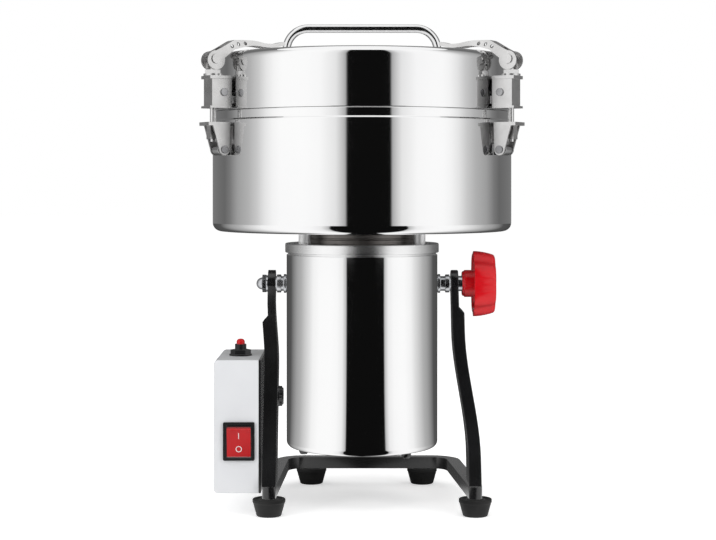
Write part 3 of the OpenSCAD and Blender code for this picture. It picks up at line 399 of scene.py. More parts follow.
def make_worn_tint():
    """A second colour in soft patches, for dust, handling and uneven finish."""
    tree, start, end = group("worn_tint", [("Vector", "Vector", None), ("Scale", "Float", 30.0),
                                           ("Colour", "Color", None), ("Tint", "Color", None),
                                           ("Amount", "Float", 0.3)], [("Colour", "Color")])
    fac = noise_over(tree, start.outputs["Vector"], start.outputs["Scale"], 5)
    mask = mapped(tree, fac, 0.0, start.outputs["Amount"], start=0.42, end=0.72)
    mix = tree.nodes.new("ShaderNodeMix")
    mix.data_type = "RGBA"
    tree.links.new(mask, mix.inputs["Factor"])
    tree.links.new(start.outputs["Colour"], mix.inputs["A"])
    tree.links.new(start.outputs["Tint"], mix.inputs["B"])
    tree.links.new(mix.outputs["Result"], end.inputs["Colour"])
    return tree


UNEVEN = make_uneven_value()
GRAIN = make_grain_height()
TURNED = make_turned_lines()
WORN = make_worn_tint()


def placed(mat, tree, **values):
    """A shared effect in a material, with its own values."""
    node = mat.node_tree.nodes.new("ShaderNodeGroup")
    node.node_tree = tree
    mat.node_tree.links.new(mat.node_tree.nodes["where"].outputs["Object"], node.inputs["Vector"])
    for label, value in values.items():
        node.inputs[label].default_value = value
    return node


def finish_of(name, colour, tint, roughness, metallic=0.0, patches=30.0, amount=0.3, coat=0.0,
              coat_roughness=0.08, grain=0.0, grain_scale=900.0, lines=0.0, density=900.0,
              shine=0.5, cloud=14.0):
    """A finish: colour in soft patches, uneven roughness, and a fine grain or turned lines."""
    mat = bpy.data.materials.new(name)
    mat.use_nodes = True
    nodes, links = mat.node_tree.nodes, mat.node_tree.links
    shader = nodes["Principled BSDF"]
    shader.inputs["Metallic"].default_value = metallic
    shader.inputs["Specular IOR Level"].default_value = shine
    shader.inputs["Coat Weight"].default_value = coat
    shader.inputs["Coat Roughness"].default_value = coat_roughness
    where = nodes.new("ShaderNodeTexCoord")
    where.name = "where"
    worn = placed(mat, WORN, Scale=patches, Colour=(*colour, 1), Tint=(*tint, 1), Amount=amount)
    links.new(worn.outputs["Colour"], shader.inputs["Base Color"])
    rough = placed(mat, UNEVEN, Scale=cloud, Low=roughness[0], High=roughness[1])
    links.new(rough.outputs["Value"], shader.inputs["Roughness"])
    if grain or lines:
        bump = nodes.new("ShaderNodeBump")
        bump.inputs["Distance"].default_value = MM
        if lines:
            source = placed(mat, TURNED, Density=density)
            bump.inputs["Strength"].default_value = lines
        else:
            source = placed(mat, GRAIN, Scale=grain_scale)
            bump.inputs["Strength"].default_value = grain
        links.new(source.outputs["Height"], bump.inputs["Height"])
        links.new(bump.outputs["Normal"], shader.inputs["Normal"])
    return mat


mirror_steel = finish_of("mirror_steel", (0.93, 0.93, 0.93), (0.88, 0.88, 0.89), (0.035, 0.07),
                         metallic=1.0, patches=9, amount=0.5, lines=0.004, density=700)
rolled_steel = finish_of("rolled_steel", (0.88, 0.88, 0.88), (0.80, 0.80, 0.81), (0.10, 0.16),
                         metallic=1.0, patches=20, amount=0.5, lines=0.02)
cap_steel = finish_of("cap_steel", (0.93, 0.93, 0.93), (0.84, 0.84, 0.84), (0.22, 0.30),
                      metallic=1.0, amount=0.5, lines=0.05, density=1200)
clamp_steel = finish_of("clamp_steel", (0.76, 0.755, 0.75), (0.56, 0.555, 0.55), (0.24, 0.34),
                        metallic=1.0, patches=60, amount=0.6, grain=0.008, grain_scale=500,
                        cloud=50)
pin_steel = finish_of("pin_steel", (0.42, 0.42, 0.43), (0.25, 0.25, 0.26), (0.18, 0.32),
                      metallic=1.0, patches=90, amount=0.6, grain=0.05, cloud=90)
zinc_steel = finish_of("zinc_steel", (0.66, 0.67, 0.69), (0.42, 0.43, 0.45), (0.14, 0.28),
                       metallic=1.0, patches=80, amount=0.6, grain=0.04, cloud=90)
dark_collar = finish_of("dark_collar", (0.22, 0.205, 0.195), (0.08, 0.075, 0.07), (0.34, 0.48),
                        metallic=0.9, patches=55, amount=0.7, lines=0.10, density=1200)
post_steel = finish_of("post_steel", (0.95, 0.95, 0.95), (0.88, 0.88, 0.88), (0.36, 0.46),
                       metallic=0.4, patches=60, amount=0.4, lines=0.02)
black_enamel = finish_of("black_enamel", (0.006, 0.006, 0.0065), (0.016, 0.016, 0.017),
                         (0.16, 0.28), patches=40, amount=0.35, coat=0.7, coat_roughness=0.12,
                         grain=0.03, grain_scale=420)
black_rubber = finish_of("black_rubber", (0.009, 0.009, 0.009), (0.03, 0.029, 0.028),
                         (0.50, 0.68), patches=60, amount=0.45, grain=0.10, grain_scale=1400,
                         shine=0.35)
black_plastic = finish_of("black_plastic", (0.008, 0.008, 0.009), (0.018, 0.018, 0.018),
                          (0.30, 0.42), patches=60, amount=0.35, grain=0.06, grain_scale=1500,
                          shine=0.35)
box_enamel = finish_of("box_enamel", (0.84, 0.85, 0.87), (0.74, 0.75, 0.78), (0.16, 0.26),
                       patches=16, amount=0.5, coat=0.3, coat_roughness=0.06, grain=0.012,
                       grain_scale=300, shine=0.3)
red_gloss = finish_of("red_gloss", (0.80, 0.003, 0.010), (0.66, 0.002, 0.008), (0.16, 0.26),
                      amount=0.4, coat=0.3, coat_roughness=0.06, grain=0.01, grain_scale=500,
                      shine=0.3)
red_button = finish_of("red_button", (0.66, 0.004, 0.008), (0.50, 0.003, 0.006), (0.20, 0.32),
                       patches=90, amount=0.4, coat=0.25, coat_roughness=0.10, grain=0.015,
                       shine=0.3)
white_mark = finish_of("white_mark", (0.88, 0.84, 0.84), (0.76, 0.70, 0.70), (0.30, 0.45),
                       patches=120, amount=0.5, grain=0.03, grain_scale=1500)
core_steel = finish_of("core_steel", (0.34, 0.35, 0.37), (0.22, 0.22, 0.24), (0.35, 0.5),
                       metallic=1.0, patches=50, amount=0.6, lines=0.25, density=1500)
copper_wire = finish_of("copper_wire", (0.56, 0.22, 0.09), (0.36, 0.12, 0.05), (0.30, 0.42),
                        metallic=0.7, patches=60, amount=0.6, coat=0.5, lines=0.35, density=1100)
red_rocker = finish_of("red_rocker", (0.54, 0.003, 0.006), (0.40, 0.002, 0.005), (0.20, 0.32),
                       patches=90, amount=0.4, coat=0.25, coat_roughness=0.10, grain=0.015,
                       shine=0.3)
cast_alloy = finish_of("cast_alloy", (0.58, 0.59, 0.61), (0.42, 0.43, 0.45), (0.42, 0.58),
                       metallic=1.0, patches=60, amount=0.6, grain=0.16)
ground_steel = finish_of("ground_steel", (0.78, 0.79, 0.80), (0.62, 0.63, 0.65), (0.16, 0.28),
                         metallic=1.0, patches=60, amount=0.5, grain=0.05, grain_scale=1200)
white_silicone = finish_of("white_silicone", (0.78, 0.78, 0.74), (0.68, 0.67, 0.62), (0.45, 0.6),
                           patches=60, amount=0.5, grain=0.05, grain_scale=1200)

NODE_FINISH = {
    black_enamel: ("base_frame", "left_leg", "right_leg", "box_back_plate", "box_bolts",
                   "cover_screws"),
    black_rubber: ("rubber_feet",),
    box_enamel: ("box_housing",),
    black_plastic: ("switch_frame", "breaker_body", "breaker_nut", "cooling_fan", "bottom_cover",
                    "brush_holders"),
    red_rocker: ("rocker",),
    red_button: ("breaker_button",),
    red_gloss: ("lock_knob",),
    zinc_steel: ("pivot_bolt", "knob_stud", "pivot_bosses"),
    post_steel: ("bowl_posts",),
    mirror_steel: ("motor_shell", "bowl", "lid"),
    rolled_steel: ("top_plate", "lid_handle", "lid_lugs", "bowl_lugs"),
    dark_collar: ("seal_collar",),
    core_steel: ("stator", "armature"),
    copper_wire: ("field_coils", "commutator"),
    cast_alloy: ("lower_bracket",),
    ground_steel: ("lower_bearing", "upper_bearing", "motor_shaft", "lower_blade",
                   "blade_spacer", "upper_blade", "blade_nut"),
    white_silicone: ("lid_seal",),
    clamp_steel: tuple(f"{kind}_{place}" for place in CLAMP_TURNS
                       for kind in ("clamp_yoke", "clamp_rod", "clamp_saddle", "clamp_pins",
                                    "cam_lever")),
}
for finish, nodes in NODE_FINISH.items():
    for node in nodes:
        mesh = frame["nodes"][node].data
        mesh.materials.clear()
        mesh.materials.append(finish)

BODY_OF = {node: body for body, members in frame["record"]["behaviour"]["bodies"].items()
           for node in members}


def settle(piece, finish, *nodes, body=None):
    """Gives a piece its finish and its body, and hides the nodes that it stands for. A piece that
    is given a body is an extra one on its node, and stands for none."""
    piece.data.materials.clear()
    piece.data.materials.append(finish)
    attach(piece, body or BODY_OF[nodes[0]])
    if body is None:
        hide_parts(*nodes)


# ---------------------------------------------------------------------------
# Bowl, lid, barrel and what lies between them
# ---------------------------------------------------------------------------
def bowl_shell():
    """The drawn bowl with its corner, its rolled rim and the groove that takes the seal."""
    inner = BOWL_R - BOWL_WALL
    groove_in, groove_out = SEAL_R - SEAL_W / 2, SEAL_R + SEAL_W / 2
    groove_z = MOUTH_Z - SEAL_DEPTH
    rim_in = RIM_R - RIM_W
    return spun("bowl_shell", rounded([
        (BOWL_HOLE_R, BOWL_Z, 0.3), (BOWL_R, BOWL_Z, BOWL_CORNER), (BOWL_R, RIM_Z - 0.2, 0.9),
        (RIM_R, RIM_Z + 0.9, 0.7), (RIM_R, MOUTH_Z, 0.8), (groove_out, MOUTH_Z, 0),
        (groove_out, groove_z, 0), (groove_in, groove_z, 0), (groove_in, MOUTH_Z, 0),
        (rim_in, MOUTH_Z, 0.8), (rim_in, RIM_Z + 0.3, 0.8), (inner, RIM_Z - 3, 0.8),
        (inner, BOWL_Z + BOWL_WALL, BOWL_CORNER - BOWL_WALL),
        (BOWL_HOLE_R, BOWL_Z + BOWL_WALL, 0.3)]), steps=200)


def lid_shell():
    """The lid, open below, whose top falls a little towards its shoulder."""
    inner = LID_R - LID_WALL
    rim_in = LID_R - RIM_W
    low = MOUTH_Z
    return spun("lid_shell", rounded([
        (AXIS_R, LID_TOP, 0), (LID_R - LID_FALL, LID_TOP, 0.6),
        (LID_R, LID_TOP - 0.7, LID_SHOULDER), (LID_R, low + 0.2, 0.5), (rim_in, low + 0.2, 0.4),
        (rim_in, low + LID_RIM_H, 0.5), (inner, low + LID_RIM_H + 0.4, 0.5),
        (inner, LID_TOP - LID_WALL, LID_SHOULDER - LID_WALL), (AXIS_R, LID_TOP - LID_WALL, 0)]),
        steps=200)


def motor_barrel():
    """The motor's barrel, whose lower edge is folded inwards."""
    inner = BARREL_R - BARREL_WALL
    fold_in = BARREL_R - BARREL_FOLD
    fold_top = BARREL_LOW + BARREL_FOLD_H
    return spun("motor_barrel", rounded([
        (fold_in, BARREL_LOW, 0.3), (BARREL_R, BARREL_LOW, BARREL_CORNER),
        (BARREL_R, BARREL_TOP, 0.5), (inner, BARREL_TOP, 0.3), (inner, fold_top, 0.6),
        (fold_in, fold_top, 0.3)]))


def barrel_cap():
    """The cap on the barrel: a spigot inside the barrel, and a boss with the bearing's seat."""
    neck = BARREL_R - BARREL_WALL - CAP_PLAY
    spigot_z = BARREL_TOP - CAP_SPIGOT
    boss_z = COLLAR_Z - BEARING_BOSS_DEPTH
    seat_z = COLLAR_Z - BEARING_SEAT_DEPTH
    return spun("barrel_cap", rounded([
        (BEARING_SEAT_R, COLLAR_Z, 0), (CAP_R, COLLAR_Z, 1.1), (CAP_R, CAP_Z, 0.9),
        (neck, CAP_Z, 0.2), (neck, spigot_z, 0.5), (BEARING_BOSS_R, spigot_z, 0.5),
        (BEARING_BOSS_R, boss_z, 0.5), (BEARING_LIP_R, boss_z, 0.3), (BEARING_LIP_R, seat_z, 0),
        (BEARING_SEAT_R, seat_z, 0)]))


def neck_collar():
    """The collar under the bowl, with a groove round it and the shaft's sleeve on top."""
    low, top = COLLAR_Z, BOWL_Z
    groove_r = COLLAR_R - COLLAR_GROOVE
    step_r, step_z = COLLAR_R - COLLAR_STEP, top - COLLAR_STEP_H
    sleeve_z = top + SLEEVE_H
    return spun("neck_collar", rounded([
        (COLLAR_BORE_R, low, 0.2), (COLLAR_R, low, 0.5), (COLLAR_R, low + 3.2, 0.4),
        (groove_r, low + 3.7, 0.3), (groove_r, low + 4.4, 0.3), (COLLAR_R, low + 4.9, 0.4),
        (COLLAR_R, step_z, 0.6), (step_r, step_z, 0.4), (step_r, top, 0), (SLEEVE_R, top, 0),
        (SLEEVE_R, sleeve_z, 0.8), (COLLAR_BORE_R, sleeve_z, 0.5)]), steps=120)


settle(bowl_shell(), mirror_steel, "bowl")
settle(lid_shell(), mirror_steel, "lid")
settle(motor_barrel(), mirror_steel, "motor_shell")
settle(barrel_cap(), cap_steel, "top_plate")
settle(neck_collar(), dark_collar, "seal_collar")


def lid_grip():
    """The handle's rod, drawn round its two bends from a circle on the lid, with welded collars."""
    half = HANDLE_SPAN / 2 * MM
    bend = HANDLE_BEND * MM
    high = (HANDLE_TOP - HANDLE_D / 2) * MM
    low = LID_TOP * MM
    weld = rounded([(3.4, -0.1, 0), (5.5, -0.1, 0.1), (5.2, 0.9, 0.5), (3.9, 1.5, 0.5),
                    (3.4, 1.9, 0)])
    bpy.ops.mesh.primitive_circle_add(vertices=40, radius=HANDLE_D / 2 * MM, fill_type="NGON",
                                      location=(-half, 0, low))
    rod = named("lid_grip_rod")
    apply_place(rod)
    edit(rod, "FACE")
    bpy.ops.mesh.select_all(action="SELECT")
    draw_out(0, 0, high - bend - low)
    bpy.ops.mesh.spin(steps=18, angle=-pi / 2, center=(bend - half, 0, high - bend), axis=(0, 1, 0))
    draw_out(2 * (half - bend), 0, 0)
    bpy.ops.mesh.spin(steps=18, angle=-pi / 2, center=(half - bend, 0, high - bend), axis=(0, 1, 0))
    draw_out(0, 0, low - high + bend)
    done()
    tidy_normals(rod)
    smooth(rod)
    welds = [spun(f"weld_{side}", weld, steps=48, centre=(side * HANDLE_SPAN / 2, 0, LID_TOP))
             for side in (-1, 1)]
    return joined("lid_grip", rod, *welds)


settle(lid_grip(), rolled_steel, "lid_handle")


# ---------------------------------------------------------------------------
# Locking knob
# ---------------------------------------------------------------------------
def knob_grip():
    """A circle pressed in between its lobes, drawn out along the pivot and smoothed by
    subdivision."""
    start, end = KNOB_GRIP
    bpy.ops.mesh.primitive_circle_add(vertices=4 * KNOB_LOBES, radius=KNOB_SWELL * KNOB_R * MM,
                                      fill_type="NGON")
    grip = named("knob_grip")
    edit(grip)
    pick(grip, "VERT", lambda v: v.index % 4 == 2)
    bpy.ops.transform.resize(value=(KNOB_WAIST, KNOB_WAIST, 1), center_override=(0, 0, 0))
    bpy.ops.mesh.select_mode(type="FACE")
    bpy.ops.mesh.select_all(action="SELECT")
    depth = end - start
    lean = KNOB_OUTER_R / KNOB_R
    # height above the rim, and width as a share of the rim's
    sides = ((0.8, 1.0), (3.0, 1.0), (9.0, 0.975), (depth - 3.0, lean + 0.012),
             (depth - 0.8, lean - 0.02), (depth - 0.1, lean - 0.10), (depth, 0.6), (depth, 0.3))
    height, size = 0.0, 1.0
    for z, scale in sides:
        draw_out(0, 0, (z - height) * MM)
        ratio = scale / size
        bpy.ops.transform.resize(value=(ratio, ratio, 1), center_override=(0, 0, z * MM))
        height, size = z, scale
    # the hollow back, from the rim inwards: width of each ring, and how much deeper it lies
    hollow = ((1.0, 0), (1.6, 0.5), (1.4, 4.2), (1.5, 0.6), (4, 0))
    pick(grip, "FACE", lambda f: abs(f.center.z) < 1e-5 and abs(f.normal.z) > 0.9)
    for inset, drop in hollow:
        bpy.ops.mesh.inset(thickness=inset * MM, depth=0)
        bpy.ops.transform.translate(value=(0, 0, drop * MM))
    done()
    apply_modifier(grip, "SUBSURF", levels=3, render_levels=3)
    tidy_normals(grip)
    grip.rotation_euler = (0, pi / 2, 0)
    grip.location = (start * MM, 0, TILT_Z * MM)
    apply_place(grip)
    smooth(grip, 60)
    return grip


def knob_hub():
    """The knob's neck, which runs on inside the grip."""
    start, end = KNOB_HUB
    inside = end - start + KNOB_HUB_IN
    return spun("knob_hub", rounded([
        (KNOB_BORE_R, 0, 0.3), (KNOB_HUB_R - 1.3, 0, 0.8), (KNOB_HUB_R - 0.9, 1.4, 0.4),
        (KNOB_HUB_R, 2.2, 0.6), (KNOB_HUB_R, inside, 0), (KNOB_BORE_R, inside, 0)]),
        steps=96, centre=(start, 0, TILT_Z), to_x=True)


settle(joined("knob_red", knob_grip(), knob_hub()), red_gloss, "lock_knob")


# ---------------------------------------------------------------------------
# Rubber feet and switch marks
# ---------------------------------------------------------------------------
def rubber_cup(name, x, y):
    """A foot with a hollow sole, a lip round its top and a peg that goes up into the base."""
    top = FOOT_H
    dish = top - FOOT_DISH
    peg = top + FOOT_PEG_H
    return spun(name, rounded([
        (AXIS_R, FOOT_SOLE, 0), (FOOT_SOLE_R - 0.7, FOOT_SOLE, 0.3), (FOOT_SOLE_R, 0, 0.4),
        (FOOT_FLOOR_R, 0, 1.2), (FOOT_TOP_R - 0.5, top - 3.4, 0.5), (FOOT_TOP_R, top - 2.6, 0.4),
        (FOOT_TOP_R, top, 0.7), (FOOT_TOP_R - 2.2, top, 0.6), (FOOT_TOP_R - 3.0, dish, 0.4),
        (FOOT_SEAT_R, dish, 0.2), (FOOT_SEAT_R, top, 0), (FOOT_PEG_R, top, 0),
        (FOOT_PEG_R, peg, 0), (AXIS_R, peg, 0)]), steps=72, centre=(x, y, 0))


settle(joined("rubber_cups", *[rubber_cup(f"cup_{k}", x, y) for k, (x, y) in FEET.items()]),
       black_rubber, "rubber_feet")


def rocker_marks():
    """The stroke and the ring that mark on and off, each lying on its half of the rocker."""
    tilt = atan2(ROCKER_RISE, ROCKER_HALF)
    bpy.ops.mesh.primitive_cube_add(size=1)
    stroke = named("stroke")
    stroke.dimensions = [size * MM for size in STROKE_SIZE]
    apply_place(stroke)
    apply_modifier(stroke, "BEVEL", width=MARK_EDGE * MM, segments=3, limit_method="ANGLE")
    bpy.ops.mesh.primitive_torus_add(major_segments=48, minor_segments=12,
                                     major_radius=RING_MARK_R * MM,
                                     minor_radius=RING_MARK_LINE / 2 * MM, rotation=(pi / 2, 0, 0))
    ring = named("ring")
    apply_place(ring)
    edit(ring)
    bpy.ops.mesh.select_all(action="SELECT")
    bpy.ops.transform.resize(value=(1, RING_MARK_FLAT, 1), center_override=(0, 0, 0))
    done()
    pivot = Vector(ROCKER_AT) * MM
    turned = Matrix.Rotation(ROCKER_LEAN, 4, "X")
    for mark, z, lean in ((stroke, STROKE_Z, tilt), (ring, RING_MARK_Z, -tilt)):
        y = -ROCKER_DEPTH - abs(z) * ROCKER_RISE / ROCKER_HALF
        here = Matrix.Translation(pivot) @ turned @ Matrix.Translation((0, y * MM, z * MM))
        mark.matrix_world = here @ Matrix.Rotation(lean, 4, "X")
        apply_place(mark)
        smooth(mark)
    return joined("rocker_marks", stroke, ring)


settle(rocker_marks(), white_mark, "rocker", body="rocker")


# ---------------------------------------------------------------------------
# Pressed, folded and moulded pieces, with their edges rounded as the real ones are
# ---------------------------------------------------------------------------
# node: name of its piece, width of its rounded edges, finish
EDGES = {
    "base_frame": ("base_bars", 1.2, black_enamel),
    "left_leg": ("left_leg_pressing", 1.2, black_enamel),
    "right_leg": ("right_leg_pressing", 1.2, black_enamel),
    "box_housing": ("switch_box", 1.0, box_enamel),
    "box_back_plate": ("box_plate", 0.4, black_enamel),
    "box_bolts": ("box_fixings", 0.5, black_enamel),
    "switch_frame": ("switch_bezel", 0.4, black_plastic),
    "rocker": ("rocker_cap", 0.5, red_rocker),
    "breaker_nut": ("breaker_ring", 0.4, black_plastic),
    "pivot_bosses": ("pivot_spacers", 0.6, zinc_steel),
    "pivot_bolt": ("pivot_screw", 0.9, zinc_steel),
    "bowl_posts": ("bowl_pillars", 0.5, post_steel),
    "bowl_lugs": ("bowl_hinge_lugs", 0.5, rolled_steel),
    "lid_lugs": ("lid_press_lugs", 0.5, rolled_steel),
    "lower_blade": ("lower_knife", 0.15, ground_steel),
    "upper_blade": ("upper_knife", 0.15, ground_steel),
    "blade_nut": ("knife_nut", 0.4, ground_steel),
}
for place in CLAMP_TURNS:
    EDGES[f"clamp_yoke_{place}"] = (f"clamp_foot_{place}", 0.45, clamp_steel)
    EDGES[f"clamp_rod_{place}"] = (f"clamp_stem_{place}", 0.4, clamp_steel)
    EDGES[f"clamp_saddle_{place}"] = (f"clamp_bridge_{place}", 0.45, clamp_steel)
    EDGES[f"clamp_pins_{place}"] = (f"clamp_rivets_{place}", 0.4, pin_steel)
for node, (name, width, finish) in EDGES.items():
    settle(softened(name, node, width), finish, node)


def arm_drop(along):
    """How far the lever's arm lies below its plain arc, at a distance from the pivot in mm."""
    for (start, low), (end, high) in zip(ARM_DROP, ARM_DROP[1:]):
        if along <= end:
            return low + (high - low) * max(0.0, along - start) / (end - start)
    return ARM_DROP[-1][1]


def lowered_arm(turn):
    """Presses a lever's arm down into a flat S between its pivot and its tip."""
    def shape(lever):
        most = max(drop for _, drop in ARM_DROP)
        arm = lever.vertex_groups.new(name="arm")
        for v in lever.data.vertices:
            out = (v.co.x * cos(radians(turn)) + v.co.y * sin(radians(turn))) / MM
            arm.add([v.index], arm_drop(CAM_PIVOT_R - out) / most, "REPLACE")
        apply_modifier(lever, "DISPLACE", direction="Z", strength=-most * MM, mid_level=0,
                       vertex_group="arm")
        lever.vertex_groups.clear()
    return shape


for place, turn in CLAMP_TURNS.items():
    node = f"cam_lever_{place}"
    settle(softened(f"cam_handle_{place}", node, 0.5, shape=lowered_arm(turn)), clamp_steel, node)


# the stand, the switch box and the knob are kept out of the steel's reflections
UNMIRRORED = ("left_leg_pressing", "right_leg_pressing", "switch_box", "box_plate", "box_fixings",
              "switch_bezel", "rocker_cap", "rocker_marks", "breaker_ring", "knob_red",
              "pivot_spacers", "pivot_screw", "rubber_cups", "base_bars")
for name in UNMIRRORED:
    bpy.data.objects[name].visible_glossy = False
UNMIRRORED_NODES = ("knob_stud", "breaker_body", "breaker_button")
for node in UNMIRRORED_NODES:
    frame["nodes"][node].visible_glossy = False

# ---------------------------------------------------------------------------
# Set: floor, reflecting studio wall, lamps and camera
# ---------------------------------------------------------------------------
PICTURE_W = 716
FOCAL_PX = 1712
SHIFT_PX = (-4, -88)
SENSOR_MM = 36
CAMERA_Y = -1.455
CAMERA_Z = 0.269
STUDIO_R = 2.2
STUDIO_LOW = -0.4
STUDIO_SPLIT = 0.14
STUDIO_HIGH = 3.4
FLOOR_SCREEN_Z = 0.0006
# how far the black strip in front of the mill stands to the right, in degrees
STRIP_TURN = 5
# degrees from the middle of the strip, brightness; the barrel sees the low one, the bowl the high
STRIP_LOW = ((0, 0.004), (27.3, 0.004), (28.3, 0.48), (34, 0.86), (42, 0.97), (52, 1))
STRIP_HIGH = ((0, 0.004), (15.8, 0.004), (17, 0.42), (24, 0.80), (36, 0.97), (48, 1))
# degrees from straight ahead, brightness
FALL_LOW = ((0, 1.05), (66, 1.03), (78, 0.95), (86, 0.78), (94, 0.64), (104, 0.46), (114, 0.37),
            (126, 0.22), (136, 0.09), (180, 0.05))
FALL_HIGH = ((0, 1.05), (62, 1.03), (69, 0.97), (76, 0.84), (84, 0.62), (93, 0.47), (106, 0.36),
             (117, 0.20), (126, 0.14), (145, 0.17), (180, 0.22))
FLOOR_W = 24
FLOOR_WHITE = 0.9
FLOOR_GLOW = 0.52
AIR_LIGHT = 0.55
AIR_GLOW = 0.45
LAMP_TARGET = Vector((0, 0, 0.2))


def set_material(name):
    """An empty material for a piece of the set, with its nodes and links."""
    mat = bpy.data.materials.new(name)
    mat.use_nodes = True
    mat.node_tree.nodes.clear()
    return mat, mat.node_tree.nodes, mat.node_tree.links


def maths(nodes, links, operation, a, b=None):
    """One step of arithmetic, whose terms are numbers or sockets."""
    node = nodes.new("ShaderNodeMath")
    node.operation = operation
    for i, value in enumerate((a, b)):
        if value is None:
            continue
        if isinstance(value, (int, float)):
            node.inputs[i].default_value = value
        else:
            links.new(value, node.inputs[i])
    return node.outputs[0]


def seen_directly(nodes, links):
    """1 for what the camera sees itself, in a polished surface or through a clear one."""
    path = nodes.new("ShaderNodeLightPath")
    seen = maths(nodes, links, "MAXIMUM", path.outputs["Is Camera Ray"],
                 path.outputs["Is Glossy Ray"])
    return maths(nodes, links, "MAXIMUM", seen, path.outputs["Is Transmission Ray"])


def brightness_by_turn(nodes, links, turn, middle, stops):
    """A ramp over the angle, in degrees, to either side of a middle direction."""
    away = maths(nodes, links, "ABSOLUTE", maths(nodes, links, "SUBTRACT", turn, radians(middle)))
    ramp = nodes.new("ShaderNodeValToRGB")
    elements = ramp.color_ramp.elements
    while len(elements) < len(stops):
        elements.new(0.5)
    for element, (angle, value) in zip(elements, stops):
        element.position = angle / 180
        element.color = (value, value, value, 1)
    links.new(maths(nodes, links, "DIVIDE", away, pi), ramp.inputs["Fac"])
    return ramp.outputs["Color"]


def studio_pattern(nodes, links, strip, fall):
    """Brightness of the studio by its direction from the mill's axis: a black strip at the front,
    white screens at both sides of it, and grey falling to dark behind the mill."""
    where = nodes.new("ShaderNodeTexCoord")
    split = nodes.new("ShaderNodeSeparateXYZ")
    links.new(where.outputs["Object"], split.inputs[0])
    ahead = maths(nodes, links, "MULTIPLY", split.outputs["Y"], -1)
    turn = maths(nodes, links, "ARCTAN2", split.outputs["X"], ahead)
    mix = nodes.new("ShaderNodeMix")
    mix.data_type = "RGBA"
    mix.blend_type = "MULTIPLY"
    mix.inputs["Factor"].default_value = 1
    links.new(brightness_by_turn(nodes, links, turn, STRIP_TURN, strip), mix.inputs["A"])
    links.new(brightness_by_turn(nodes, links, turn, 0, fall), mix.inputs["B"])
    return mix.outputs["Result"]


def glowing_screen(name, strip, fall):
    """Makes the new primitive a screen of the studio, which only the polished surfaces see."""
    mat, nodes, links = set_material(name)
    light = nodes.new("ShaderNodeEmission")
    links.new(studio_pattern(nodes, links, strip, fall), light.inputs["Color"])
    out = nodes.new("ShaderNodeOutputMaterial")
    links.new(light.outputs[0], out.inputs["Surface"])
    screen = named(name)
    apply_place(screen)
    screen.data.materials.append(mat)
    for kind in ("camera", "diffuse", "transmission", "shadow", "volume_scatter"):
        setattr(screen, f"visible_{kind}", False)


def studio_wall():
    """Two rings of screens and flags, one above the other, and a screen that covers the floor."""
    for name, low, high, strip, fall in (
            ("studio_ring_low", STUDIO_LOW, STUDIO_SPLIT, STRIP_LOW, FALL_LOW),
            ("studio_ring_high", STUDIO_SPLIT, STUDIO_HIGH, STRIP_HIGH, FALL_HIGH)):
        bpy.ops.mesh.primitive_cylinder_add(vertices=180, radius=STUDIO_R, depth=high - low,
                                            end_fill_type="NOTHING",
                                            location=(0, 0, (low + high) / 2))
        glowing_screen(name, strip, fall)
    bpy.ops.mesh.primitive_circle_add(vertices=180, radius=STUDIO_R, fill_type="NGON",
                                      location=(0, 0, FLOOR_SCREEN_Z))
    glowing_screen("studio_floor_screen", STRIP_LOW, FALL_LOW)


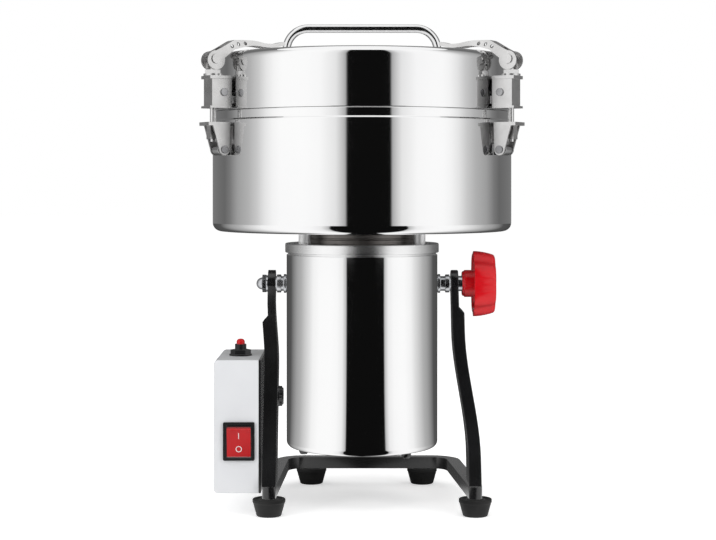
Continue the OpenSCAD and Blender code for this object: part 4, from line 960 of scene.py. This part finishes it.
def floor():
    """A pale floor that keeps the mill's shadow and is otherwise as white as the backdrop."""
    mat, nodes, links = set_material("pale_floor")
    base = nodes.new("ShaderNodeBsdfDiffuse")
    base.inputs["Color"].default_value = (FLOOR_WHITE, FLOOR_WHITE, FLOOR_WHITE, 1)
    glow = nodes.new("ShaderNodeEmission")
    glow.inputs["Color"].default_value = (1, 1, 1, 1)
    level = maths(nodes, links, "MULTIPLY", seen_directly(nodes, links), FLOOR_GLOW)
    links.new(level, glow.inputs["Strength"])
    both = nodes.new("ShaderNodeAddShader")
    links.new(base.outputs[0], both.inputs[0])
    links.new(glow.outputs[0], both.inputs[1])
    out = nodes.new("ShaderNodeOutputMaterial")
    links.new(both.outputs[0], out.inputs["Surface"])
    bpy.ops.mesh.primitive_plane_add(size=FLOOR_W, location=(0, 0, 0))
    ground = named("pale_floor")
    ground.data.materials.append(mat)


def sky():
    """The air round the mill: it lights the mill softly, and is white where it is seen."""
    world = bpy.data.worlds.new("studio_air")
    bpy.context.scene.world = world
    world.use_nodes = True
    nodes, links = world.node_tree.nodes, world.node_tree.links
    nodes.clear()
    back = nodes.new("ShaderNodeBackground")
    back.inputs["Color"].default_value = (1, 1, 1, 1)
    level = maths(nodes, links, "MULTIPLY", seen_directly(nodes, links), AIR_GLOW)
    links.new(maths(nodes, links, "ADD", level, AIR_LIGHT), back.inputs["Strength"])
    out = nodes.new("ShaderNodeOutputWorld")
    links.new(back.outputs[0], out.inputs["Surface"])


def softbox(name, place, width, height, power):
    """A lamp that faces the mill and shows in none of its polished surfaces."""
    light = bpy.data.lights.new(name, "AREA")
    light.shape = "RECTANGLE"
    light.size = width
    light.size_y = height
    light.energy = power
    obj = bpy.data.objects.new(name, light)
    bpy.context.scene.collection.objects.link(obj)
    obj.location = place
    obj.rotation_euler = (LAMP_TARGET - Vector(place)).to_track_quat("-Z", "Y").to_euler()
    obj.visible_glossy = False


studio_wall()
floor()
sky()
softbox("softbox_left", (-1.15, -1.15, 0.75), width=0.5, height=1.1, power=7.0)
softbox("softbox_right", (1.25, -1.05, 0.70), width=0.5, height=1.1, power=6.0)
softbox("softbox_top", (0, -0.3, 1.9), width=1.2, height=1.2, power=9.0)

camera_data = bpy.data.cameras.new("camera")
camera_data.sensor_width = SENSOR_MM
camera_data.lens = SENSOR_MM * FOCAL_PX / PICTURE_W
camera_data.shift_x = SHIFT_PX[0] / PICTURE_W
camera_data.shift_y = SHIFT_PX[1] / PICTURE_W
camera_data.clip_start = 0.05
camera_data.clip_end = 60
camera = bpy.data.objects.new("camera", camera_data)
bpy.context.scene.collection.objects.link(camera)
camera.location = (0, CAMERA_Y, CAMERA_Z)
camera.rotation_euler = (pi / 2, 0, 0)
bpy.context.scene.camera = camera
bpy.context.scene.view_settings.view_transform = "Standard"

bpy.context.view_layer.update()
